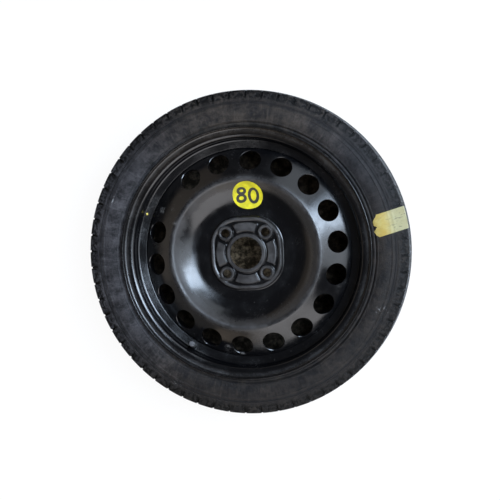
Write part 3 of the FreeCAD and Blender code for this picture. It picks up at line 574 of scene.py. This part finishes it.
def make_spring(material, steps=120, sides=10):
    """The valve core's coil, from its foot in the barrel to its head."""
    rows = []
    for step in range(steps + 1):
        share = step / steps
        turn = share * SPRING_TURNS * math.tau
        middle = SPRING_FOOT + WIRE_R + (SPRING_HEAD - SPRING_FOOT - 2 * WIRE_R) * share
        row = []
        for angle in even_angles(sides):
            across, up = SPRING_R + WIRE_R * math.cos(angle), middle + WIRE_R * math.sin(angle)
            row.append(VALVE_PLACE @ round_point(across, turn, up))
        rows.append(row)
    verts, faces = [], []
    add_strip(verts, faces, rows)
    faces += [tuple(range(sides)), tuple(reversed(range(steps * sides, len(verts))))]
    mesh = bpy.data.meshes.new("core_spring")
    mesh.from_pydata(verts, [], faces)
    finish_mesh(mesh)
    mesh.materials.append(material)
    spring = add_object("core_spring", mesh)
    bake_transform(spring)
    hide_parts("valve_core_spring")


def on_bowl(side, rise, lift):
    """A place on the bowl's wall near the label's middle, a little above the paint."""
    lean = LABEL_LEAN + rise / BOWL_R
    across = VALLEY_R + BOWL_R * math.sin(lean)
    angle = LABEL_ANGLE - side / across
    return round_point(across, angle, bowl_z(across) + lift / math.cos(lean))


def add_strip(verts, faces, rows, closed=False):
    """Joins rows of points, each closed on itself, into a band of quads that may end where it starts."""
    start, count = len(verts), len(rows[0])
    for row in rows:
        verts.extend(row)
    for row in range(len(rows) if closed else len(rows) - 1):
        first, second = start + row * count, start + (row + 1) % len(rows) * count
        for index in range(count):
            after = (index + 1) % count
            faces.append((first + index, first + after, second + after, second + index))


def ring_points(centre, half_width, half_height, tilt, lift, count=64):
    """An oval on the label, tilted about the label's middle."""
    points = []
    for angle in even_angles(count):
        spot = Vector(centre) + Vector((half_width * math.cos(angle), half_height * math.sin(angle)))
        spot.rotate(Matrix.Rotation(tilt, 2))
        points.append(on_bowl(spot.x, spot.y, lift))
    return points


def make_label(film, ink):
    """Round label that follows the bowl, with its two digits in dark ink."""
    verts, faces = [], []
    sizes = [LABEL_R * share / LABEL_ROWS for share in range(1, LABEL_ROWS + 1)]
    rows = [ring_points((0, 0), size, size, 0, LABEL_TOP) for size in sizes]
    rows += [ring_points((0, 0), size, size, 0, LABEL_GLUE) for size in reversed(sizes)]
    add_strip(verts, faces, rows)
    count = len(rows[0])
    faces += [tuple(range(count)), tuple(range(len(verts) - count, len(verts)))]
    film_faces = len(faces)
    for middle, half_width, half_height in DIGIT_RINGS:
        outer, inner = (half_width, half_height), (half_width - DIGIT_STROKE, half_height - DIGIT_STROKE)
        section = ((outer, INK_FOOT), (outer, INK_CREST), (inner, INK_CREST), (inner, INK_FOOT))
        rows = [ring_points(middle, *half, DIGIT_TILT, lift) for half, lift in section]
        add_strip(verts, faces, rows, closed=True)
    mesh = bpy.data.meshes.new("speed_label")
    mesh.from_pydata(verts, [], faces)
    finish_mesh(mesh)
    add_piece("speed_label", mesh, film, "wheel", "speed_sticker")
    mesh.materials.append(ink)
    for face in mesh.polygons:
        face.material_index = 0 if face.index < film_faces else 1


def torn_end(side):
    """How far the tape's torn end lies from its inmost tip, across the tape."""
    share = side / TAPE_HALF
    for (low, low_depth), (high, high_depth) in zip(TEAR_LINE, TEAR_LINE[1:]):
        if share <= high:
            part = smooth(low, high, share) * 0.5 + (share - low) / (high - low) * 0.5
            fray = 0.25 * math.sin(side * 5.1) + 0.15 * math.sin(side * 11.7)
            return TAPE_TEAR * (low_depth + (high_depth - low_depth) * part) + fray
    return TAPE_TEAR


def tape_point(along, side):
    """Radius and angle of a place on the tape: along from the widest line and to one side, in plan."""
    turn = TAPE_ANGLE + TAPE_SKEW
    middle = Vector((WIDEST_R * math.cos(TAPE_ANGLE), WIDEST_R * math.sin(TAPE_ANGLE)))
    ahead, sideways = Vector((math.cos(turn), math.sin(turn))), Vector((-math.sin(turn), math.cos(turn)))
    plan = middle + ahead * along + sideways * side
    return plan.length, math.atan2(plan.y, plan.x)


def make_tape(material):
    """Paper tape laid up the sidewall, over the shoulder and onto the tread, torn at its inner end."""
    lift = TAPE_GLUE + TAPE_FILM
    edge_r, shoulder_z = tread_r(TREAD_HALF), sidewall_z(SHOULDER_R)
    work = bmesh.new()
    grid = []
    for column in range(TAPE_COLUMNS + 1):
        side = TAPE_HALF * (2 * column / TAPE_COLUMNS - 1)
        start = TAPE_START_R - WIDEST_R + max(torn_end(side), 0)
        end = start
        while tape_point(end, side)[0] < edge_r:
            end += TAPE_STEP
        line = []
        for row in range(TAPE_ROWS + 1):
            done = row / TAPE_ROWS
            across, angle = tape_point(start + (end - start) * done, side)
            across = min(across, edge_r)
            if across < SHOULDER_R:
                up = sidewall_z(across) + max(ring_relief(across), 0)
            else:
                up = shoulder_z + (TREAD_HALF - shoulder_z) * (across - SHOULDER_R) / (edge_r - SHOULDER_R)
            crease = 0.1 * math.sin(side * 0.9 + row * 0.35) * math.sin(row * 0.5)
            line.append((across + lift * done, angle, up + lift + crease * (1 - done)))
        for row in range(1, TAPE_LAP_ROWS + 1):
            up = TREAD_HALF + lift - (TAPE_LAP + lift) * row / TAPE_LAP_ROWS
            line.append((tread_r(up) + lift, angle, up))
        grid.append([work.verts.new(round_point(*place)) for place in line])
    for first, second in zip(grid, grid[1:]):
        for row in range(len(first) - 1):
            work.faces.new((first[row], first[row + 1], second[row + 1], second[row]))
    bmesh.ops.recalc_face_normals(work, faces=work.faces)
    bmesh.ops.solidify(work, geom=work.faces[:], thickness=TAPE_FILM * MM)
    mesh = bpy.data.meshes.new("masking_tape")
    work.to_mesh(mesh)
    work.free()
    finish_mesh(mesh, sharp_degrees=50)
    add_piece("masking_tape", mesh, material, "wheel", "paper_tape")


class Nodes:
    """Short ways to add and join shader nodes in one tree."""

    def __init__(self, tree):
        self.tree = tree
        self.shader = next((node for node in tree.nodes if node.type == "BSDF_PRINCIPLED"), None)

    def add(self, kind, **settings):
        node = self.tree.nodes.new(kind)
        for name, value in settings.items():
            setattr(node, name, value)
        return node

    def join(self, source, socket):
        self.tree.links.new(source, socket)

    def put(self, socket, value):
        if hasattr(value, "is_linked"):
            self.join(value, socket)
        else:
            socket.default_value = value

    def place(self):
        return self.add("ShaderNodeTexCoord").outputs["Object"]

    def math(self, operation, first, second=0.0, clamp=False):
        node = self.add("ShaderNodeMath", operation=operation, use_clamp=clamp)
        self.put(node.inputs[0], first)
        self.put(node.inputs[1], second)
        return node.outputs[0]

    def times(self, first, second):
        return self.math("MULTIPLY", first, second)

    def noise(self, place, scale, detail=4.0, roughness=0.55):
        node = self.add("ShaderNodeTexNoise")
        self.join(place, node.inputs["Vector"])
        node.inputs["Scale"].default_value = scale
        node.inputs["Detail"].default_value = detail
        node.inputs["Roughness"].default_value = roughness
        return node.outputs["Fac"]

    def ramp(self, value, low, high, start=0.0, end=1.0):
        node = self.add("ShaderNodeMapRange", interpolation_type="SMOOTHSTEP")
        for name, number in (("From Min", low), ("From Max", high), ("To Min", start), ("To Max", end)):
            node.inputs[name].default_value = number
        self.join(value, node.inputs["Value"])
        return node.outputs["Result"]

    def mix(self, share, first, second):
        node = self.add("ShaderNodeMix", data_type="RGBA")
        self.put(node.inputs["Factor"], share)
        self.put(node.inputs[6], (*first, 1) if isinstance(first, tuple) else first)
        self.put(node.inputs[7], (*second, 1) if isinstance(second, tuple) else second)
        return node.outputs[2]

    def bump(self, height, strength, distance):
        node = self.add("ShaderNodeBump")
        node.inputs["Strength"].default_value = strength
        node.inputs["Distance"].default_value = distance
        self.join(height, node.inputs["Height"])
        self.join(node.outputs["Normal"], self.shader.inputs["Normal"])

    def polar(self, place):
        """Distance from the wheel's axis, angle about it, and height."""
        split = self.add("ShaderNodeSeparateXYZ")
        self.join(place, split.inputs[0])
        x, y = split.outputs["X"], split.outputs["Y"]
        across = self.math("SQRT", self.math("ADD", self.times(x, x), self.times(y, y)))
        return across, self.math("ARCTAN2", y, x), split.outputs["Z"]

    def band(self, across, radius, half_width):
        """1 on a ring of the wheel, falling to 0 at a distance from it, in millimetres."""
        away = self.math("ABSOLUTE", self.math("SUBTRACT", across, radius * MM))
        return self.ramp(away, 0.0, half_width * MM, 1.0, 0.0)

    def spot(self, place, centre, radius):
        """1 at a place on the wheel, falling to 0 at a distance from it, in millimetres."""
        node = self.add("ShaderNodeVectorMath", operation="DISTANCE")
        self.join(place, node.inputs[0])
        node.inputs[1].default_value = [value * MM for value in centre]
        return self.ramp(node.outputs["Value"], 0.0, radius * MM, 1.0, 0.0)


def new_material(name):
    """A material and the short ways to its nodes."""
    material = bpy.data.materials.new(name)
    material.use_nodes = True
    return material, Nodes(material.node_tree)


# Colours of the paint, rubber, tape and floor
PAINT_BLACK, PAINT_DUST_AND_HIGHLIGHT, PAINT_WARM_REFLECTION = (0.0016, 0.0017, 0.0022), (0.034, 0.031, 0.03), (0.024, 0.017, 0.011)
RUBBER_BLACK, RUBBER_DUST, RUBBER_WARM_SHEEN = (0.005, 0.005, 0.0057), (0.064, 0.061, 0.065), (0.056, 0.045, 0.036)
PAINT_SPECK, PAINT_SCRAPE_AND_GLINT, DOT_YELLOW = (0.12, 0.11, 0.1), (0.13, 0.125, 0.12), (0.5, 0.4, 0.08)
RUBBER_BLOCK, NOTCH_SHADE_BLACK, CHALK = (0.001, 0.001, 0.001), (0.0005, 0.0005, 0.0005), (0.2, 0.2, 0.2)
TAPE_CREAM, TAPE_STAIN = (0.36, 0.295, 0.09), (0.32, 0.225, 0.045)
TAPE_GREY, TAPE_SMUDGE = (0.22, 0.22, 0.135), (0.05, 0.045, 0.03)
SHADE_DARK, SHADE_PALE = (0.008, 0.0065, 0.005), (0.06, 0.048, 0.036)
LIT_EARTH_DARK, LIT_EARTH_PALE, FLOOR_WHITE = (0.03, 0.022, 0.014), (0.26, 0.2, 0.13), (0.9, 0.9, 0.9)

# Marks seen in the photo: place and radius in millimetres
# Of the pale marks on the paint, the first two are painted glints on the blank's stamped marks and the other
# three are scrapes.
GLINTS_AND_SCRAPES = (
    ((-150.0, 74.3, 40.6), 9), ((-130.9, 72.9, 51.2), 8), ((-124.0, 49.4, 61.0), 7),
    ((-7.1, -175.8, 35.5), 8), ((-33.4, -167.1, 38.8), 8),
)
PAINT_DOT = ((-181.5, 66.9, 32.0), 3.6)
CHALK_MARKS = (((237.0, -96.0, 58.0), 14), ((-236.0, 92.0, 58.0), 10), ((-120.0, -232.0, 57.0), 12))

# Rings on the paint, radius and half width in millimetres: wear on the crown, dust with a painted highlight
# on the flange's heel, and a painted warm reflection on the flange's upper half
CROWN_WEAR, HEEL_DUST_AND_HIGHLIGHT, HEEL_WARM_REFLECTION = (126.0, 16.0), (213.5, 6.0), (212.0, 9.0)

# Heights in metres between which the paint turns from the unseen back, darkened as painted shade, to the
# glossy front
BACK_Z, FRONT_Z = 0.022, 0.029


def make_black_paint():
    """Glossy black paint with smears and dust, worn pale on the crown and the hub's raised parts, with
    painted highlights on the flange's heel and on the blank's stamped marks, a painted warm reflection on the
    flange's upper half, and painted shade in the deep parts where it reflects less.
    """
    material, nodes = new_material("black_paint")
    place = nodes.place()
    across, angle, height = nodes.polar(place)
    smears = nodes.noise(place, 24, 5, 0.6)
    fine = nodes.noise(place, 170, 6, 0.65)
    specks = nodes.ramp(nodes.noise(place, 420, 3), 0.66, 0.74)
    worn = nodes.add("ShaderNodeAttribute", attribute_name="wear").outputs["Fac"]
    crown = nodes.band(across, *CROWN_WEAR)
    patchy = nodes.times(nodes.ramp(fine, 0.3, 0.7, 0.5, 1.0), nodes.ramp(smears, 0.35, 0.65, 0.6, 1.0))
    dust = nodes.times(nodes.ramp(smears, 0.46, 0.72), nodes.ramp(fine, 0.4, 0.75))
    dust = nodes.times(dust, nodes.ramp(across, 0.09, 0.13, 0.1, 0.3))
    # Dust and painted highlight: a paler ring all round the flange's heel.
    dust = nodes.math("MAXIMUM", dust, nodes.times(nodes.band(across, *HEEL_DUST_AND_HIGHLIGHT), 0.5))
    dust = nodes.math("MAXIMUM", dust, nodes.math("MAXIMUM", crown, worn))
    dust = nodes.times(dust, patchy)
    colour = nodes.mix(dust, PAINT_BLACK, PAINT_DUST_AND_HIGHLIGHT)
    # Painted warm reflection: a brown tint on the upper half of the flange's heel ring.
    warm_reflection = nodes.times(nodes.band(across, *HEEL_WARM_REFLECTION), nodes.ramp(nodes.math("SINE", angle), 0.1, 0.95))
    colour = nodes.mix(nodes.times(warm_reflection, nodes.ramp(smears, 0.3, 0.65, 0.2, 0.6)), colour, PAINT_WARM_REFLECTION)
    colour = nodes.mix(nodes.times(specks, 0.2), colour, PAINT_SPECK)
    # Pale marks: scrapes, and painted glints on the blank's stamped marks.
    glint_and_scrape_grain = nodes.ramp(nodes.noise(place, 75, 5, 0.7), 0.46, 0.6)
    for centre, radius in GLINTS_AND_SCRAPES:
        mark = nodes.times(nodes.spot(place, centre, radius), glint_and_scrape_grain)
        colour = nodes.mix(mark, colour, PAINT_SCRAPE_AND_GLINT)
    colour = nodes.mix(nodes.ramp(nodes.spot(place, *PAINT_DOT), 0.2, 0.7), colour, DOT_YELLOW)
    nodes.join(colour, nodes.shader.inputs["Base Color"])
    # Painted shade: below the front the paint reflects far less, darkening the deep parts inside the wheel.
    deep_shade = nodes.ramp(height, BACK_Z, FRONT_Z, 1.0, 0.0)
    gloss = nodes.math("ADD", nodes.ramp(smears, 0.35, 0.7, 0.14, 0.27), nodes.times(dust, 0.45))
    nodes.join(nodes.math("ADD", gloss, nodes.times(deep_shade, 0.35)), nodes.shader.inputs["Roughness"])
    nodes.join(nodes.ramp(height, BACK_Z, FRONT_Z, 0.06, 0.5), nodes.shader.inputs["Specular IOR Level"])
    nodes.bump(nodes.math("ADD", nodes.times(fine, 0.3), nodes.times(smears, 2.0)), 0.08, 0.0006)
    return material


def make_tyre_rubber():
    """Dull rubber with a mottled, dusty skin and faint radial mould lines, painted lighter to the upper left
    and darker to the lower right, with a painted warm sheen in brown on all sides but the left and painted
    shade in the shoulder's notches.
    """
    material, nodes = new_material("tyre_rubber")
    place = nodes.place()
    across, angle, _ = nodes.polar(place)
    lines = nodes.add("ShaderNodeCombineXYZ")
    nodes.join(nodes.times(angle, 60.0), lines.inputs[0])
    nodes.join(nodes.times(across, 40.0), lines.inputs[1])
    streaks = nodes.noise(lines.outputs[0], 1.0, 5, 0.7)
    cells = nodes.add("ShaderNodeCombineXYZ")
    nodes.join(nodes.times(angle, 42.0), cells.inputs[0])
    nodes.join(nodes.times(across, 170.0), cells.inputs[1])
    blocks = nodes.ramp(nodes.noise(cells.outputs[0], 1.0, 2, 0.5), 0.44, 0.56)
    mottle = nodes.noise(place, 60, 7, 0.74)
    broad = nodes.noise(place, 8, 3)
    grain = nodes.noise(place, 700, 3)
    dust = nodes.times(nodes.ramp(mottle, 0.28, 0.78), nodes.ramp(broad, 0.3, 0.7, 0.5, 1.0))
    dust = nodes.math("ADD", dust, nodes.times(nodes.ramp(streaks, 0.48, 0.8), 0.55), clamp=True)
    # Painted light and shade: the dust thins towards the lower right, so the tyre is painted lighter to the
    # upper left and darker to the lower right.
    turned = nodes.math("COSINE", nodes.math("SUBTRACT", angle, 2.6))
    dust = nodes.times(dust, nodes.ramp(turned, -0.8, 0.6, 0.4, 1.0))
    # Painted warm sheen: the dust is tinted brown at the top, the bottom and the right.
    upright = nodes.math("ABSOLUTE", nodes.math("SINE", angle))
    right = nodes.ramp(nodes.math("COSINE", nodes.math("ADD", angle, 0.6)), 0.2, 0.8)
    warm_sheen = nodes.math("MAXIMUM", nodes.ramp(upright, 0.55, 1.0), right)
    tint = nodes.mix(warm_sheen, RUBBER_DUST, RUBBER_WARM_SHEEN)
    colour = nodes.mix(dust, RUBBER_BLACK, tint)
    shoulder = nodes.ramp(across, SHOULDER_R * MM, (SHOULDER_R + 6) * MM)
    bend = nodes.band(across, (RIDGE_R + SHOULDER_R) / 2 + 1, (SHOULDER_R - RIDGE_R) / 2)
    colour = nodes.mix(nodes.times(bend, 0.65), colour, RUBBER_BLACK)
    # Painted shade: the shoulder's notches are coloured near black.
    notch_shade = nodes.ramp(nodes.math("COSINE", nodes.times(angle, float(NOTCHES))), 0.88, 0.95)
    darkened = nodes.times(shoulder, nodes.ramp(blocks, 0.0, 1.0, 0.9, 0.25))
    colour = nodes.mix(darkened, colour, RUBBER_BLOCK)
    colour = nodes.mix(nodes.times(shoulder, notch_shade), colour, NOTCH_SHADE_BLACK)
    flecks = nodes.ramp(nodes.noise(place, 280, 3), 0.58, 0.66)
    for centre, radius in CHALK_MARKS:
        mark = nodes.times(nodes.spot(place, centre, radius), flecks)
        colour = nodes.mix(mark, colour, CHALK)
    nodes.join(colour, nodes.shader.inputs["Base Color"])
    nodes.join(nodes.ramp(mottle, 0.3, 0.75, 0.42, 0.6), nodes.shader.inputs["Roughness"])
    nodes.shader.inputs["Specular IOR Level"].default_value = 0.12
    relief = nodes.math("ADD", nodes.times(mottle, 3.0), nodes.times(streaks, 1.6))
    relief = nodes.math("ADD", relief, nodes.times(nodes.times(shoulder, blocks), 1.2))
    nodes.bump(nodes.math("ADD", relief, grain), 0.5, 0.0008)
    return material


def make_tape_paper():
    """Cream masking tape, stained and smudged, greyer where it goes over the shoulder."""
    material, nodes = new_material("tape_paper")
    place = nodes.place()
    turned = nodes.add("ShaderNodeVectorRotate", rotation_type="Z_AXIS")
    nodes.join(place, turned.inputs["Vector"])
    turned.inputs["Angle"].default_value = -(TAPE_ANGLE + TAPE_SKEW)
    stretched = nodes.add("ShaderNodeMapping")
    nodes.join(turned.outputs[0], stretched.inputs["Vector"])
    stretched.inputs["Scale"].default_value = (1.0, 2.6, 1.0)
    stains = nodes.noise(place, 60, 4)
    smudges = nodes.ramp(nodes.noise(stretched.outputs[0], 130, 3, 0.6), 0.56, 0.68)
    across = nodes.polar(place)[0]
    outer = nodes.ramp(across, WIDEST_R * MM, SHOULDER_R * MM)
    colour = nodes.mix(nodes.ramp(stains, 0.35, 0.7), TAPE_CREAM, TAPE_STAIN)
    colour = nodes.mix(nodes.times(outer, 0.75), colour, TAPE_GREY)
    smudged = nodes.times(smudges, nodes.ramp(outer, 0.0, 1.0, 0.25, 0.65))
    colour = nodes.mix(smudged, colour, TAPE_SMUDGE)
    nodes.join(colour, nodes.shader.inputs["Base Color"])
    nodes.join(nodes.ramp(stains, 0.3, 0.7, 0.65, 0.8), nodes.shader.inputs["Roughness"])
    nodes.bump(nodes.noise(place, 160, 5), 0.3, 0.0003)
    return material


def make_plain(name, colour, roughness, metallic=0.0, scale=300.0, depth=0.0002):
    """A small piece's material: its colour with a fine grain."""
    material, nodes = new_material(name)
    grain = nodes.noise(nodes.place(), scale, 4)
    darker = tuple(value * 0.6 for value in colour)
    nodes.join(nodes.mix(nodes.ramp(grain, 0.3, 0.7), darker, colour), nodes.shader.inputs["Base Color"])
    sheen = nodes.ramp(grain, 0.3, 0.7, roughness - 0.06, roughness + 0.08)
    nodes.join(sheen, nodes.shader.inputs["Roughness"])
    nodes.shader.inputs["Metallic"].default_value = metallic
    nodes.bump(grain, 0.25, depth)
    return material


def dress_nodes(materials):
    """Give the solids that are shown as they are their materials."""
    for node, material in materials.items():
        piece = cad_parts[node]
        piece.data.materials.clear()
        piece.data.materials.append(material)


def make_floor():
    """A pale floor that the camera sees as white, painted dark as shade under the wheel and a lighter brown
    under the bore as a pool of light.
    """
    mesh = bpy.data.meshes.new("floor")
    reach = 9.0
    corners = [(-reach, -reach), (reach, -reach), (reach, reach), (-reach, reach)]
    mesh.from_pydata([(x, y, FLOOR_Z) for x, y in corners], [], [(0, 1, 2, 3)])
    floor = add_object("floor", mesh)
    material, nodes = new_material("floor")
    place = nodes.place()
    across = nodes.polar(place)[0]
    clear = nodes.ramp(across, FLANGE_R * MM, (TYRE_R - 15) * MM)
    grit = nodes.ramp(nodes.noise(place, 90, 6, 0.7), 0.4, 0.7)
    # Painted shade under the wheel, and a painted pool of light in lighter brown under the bore.
    shade = nodes.mix(grit, SHADE_DARK, SHADE_PALE)
    lit_earth = nodes.mix(grit, LIT_EARTH_DARK, LIT_EARTH_PALE)
    shade = nodes.mix(nodes.ramp(across, 0.05, 0.09, 1.0, 0.0), shade, lit_earth)
    nodes.join(nodes.mix(clear, shade, FLOOR_WHITE), nodes.shader.inputs["Base Color"])
    nodes.shader.inputs["Roughness"].default_value = 0.9
    nodes.shader.inputs["Specular IOR Level"].default_value = 0.0
    path = nodes.add("ShaderNodeLightPath")
    seen = nodes.math("MAXIMUM", path.outputs["Is Camera Ray"], path.outputs["Is Transmission Ray"])
    glow = nodes.add("ShaderNodeEmission")
    share = nodes.add("ShaderNodeMixShader")
    nodes.join(nodes.times(nodes.times(seen, clear), 0.93), share.inputs["Fac"])
    nodes.join(nodes.shader.outputs[0], share.inputs[1])
    nodes.join(glow.outputs[0], share.inputs[2])
    output = next(node for node in nodes.tree.nodes if node.type == "OUTPUT_MATERIAL")
    nodes.join(share.outputs[0], output.inputs["Surface"])
    mesh.materials.append(material)


def add_softbox(name, bearing, height, distance, size, radiance, colour):
    """A flat light that faces the wheel from a bearing and a height in degrees, its sizes in metres."""
    light = bpy.data.lights.new(name, "AREA")
    light.shape = "RECTANGLE"
    light.size, light.size_y = size
    light.energy = radiance * math.pi * size[0] * size[1]
    light.color = colour
    lamp = add_object(name, light)
    turn, tilt = math.radians(bearing), math.radians(height)
    out, up = math.cos(tilt), math.sin(tilt)
    place = distance * Vector((math.cos(turn) * out, math.sin(turn) * out, up))
    lamp.matrix_world = Matrix.Translation(place) @ place.to_track_quat("Z", "Y").to_matrix().to_4x4()


def make_lights():
    """A tall cool window to the right with a pale wall round it, and weak warm light from the other sides."""
    world = bpy.data.worlds.new("studio")
    bpy.context.scene.world = world
    world.use_nodes = True
    nodes = Nodes(world.node_tree)
    split = nodes.add("ShaderNodeSeparateXYZ")
    nodes.join(nodes.add("ShaderNodeTexCoord").outputs["Generated"], split.inputs[0])
    seen = nodes.add("ShaderNodeLightPath").outputs["Is Camera Ray"]
    background = world.node_tree.nodes["Background"]
    nodes.join(nodes.mix(seen, (1.0, 0.95, 0.9), (1.0, 1.0, 1.0)), background.inputs["Color"])
    glow = nodes.ramp(split.outputs["Z"], 0.0, 0.4, 0.8, 0.07)
    nodes.join(nodes.math("MAXIMUM", glow, seen), background.inputs["Strength"])
    blue, cool, pale, warm = (0.65, 0.8, 1.0), (0.82, 0.9, 1.0), (0.98, 0.97, 1.0), (1.0, 0.82, 0.64)
    add_softbox("window", 26, 52, 4.2, (1.45, 3.1), 21, blue)
    add_softbox("window_wall", 5, 44, 4.8, (2.9, 3.8), 3.2, cool)
    add_softbox("lower_wall", 290, 42, 5.1, (4.5, 3.8), 3.0, pale)
    add_softbox("upper_wall", 60, 34, 5.1, (2.6, 2.9), 1.8, cool)
    add_softbox("ground_glow", 270, 10, 5.1, (5.4, 1.6), 1.2, warm)
    add_softbox("left_wall", 160, 20, 5.1, (8.0, 2.2), 0.3, warm)


def make_camera():
    """The photograph's viewpoint: nearly square on, a little from the right and from above."""
    camera = bpy.data.cameras.new("photo_view")
    camera.sensor_width = 36.0
    camera.lens = FOCAL_PIXELS * camera.sensor_width / PHOTO_PIXELS
    view = add_object("photo_view", camera)
    place, target = EYE * MM, TARGET * MM
    back = (place - target).normalized()
    right = Vector((0, 1, 0)).cross(back).normalized()
    axes = Matrix((right, back.cross(right), back)).transposed()
    view.matrix_world = Matrix.Translation(place) @ axes.to_4x4()
    bpy.context.scene.camera = view


def main():
    """Build the wheel's pieces on the frame, then the floor, lights and camera."""
    bpy.context.scene.view_settings.view_transform = "Standard"
    paint, rubber = make_black_paint(), make_tyre_rubber()
    valve_rubber = make_plain("valve_rubber", (0.02, 0.02, 0.021), 0.6)
    brass = make_plain("brass", (0.72, 0.52, 0.22), 0.3, metallic=1.0)
    steel = make_plain("spring_steel", (0.55, 0.55, 0.57), 0.3, metallic=1.0)
    plastic = make_plain("cap_plastic", (0.075, 0.075, 0.08), 0.4)
    label = make_plain("label_film", (0.61, 0.535, 0.004), 0.6, scale=60.0, depth=0.00005)
    ink = make_plain("label_ink", (0.02, 0.02, 0.012), 0.5)
    paper = make_tape_paper()
    make_tyre(rubber)
    make_rim(paint)
    make_disc(paint)
    make_valve(valve_rubber, brass, plastic)
    make_spring(steel)
    make_label(label, ink)
    make_tape(paper)
    dress_nodes({
        "disc_welds": paint, "valve_core_plug": brass,
        "valve_core_pin": brass, "valve_core_seal": valve_rubber,
    })
    make_floor()
    make_lights()
    make_camera()


main()
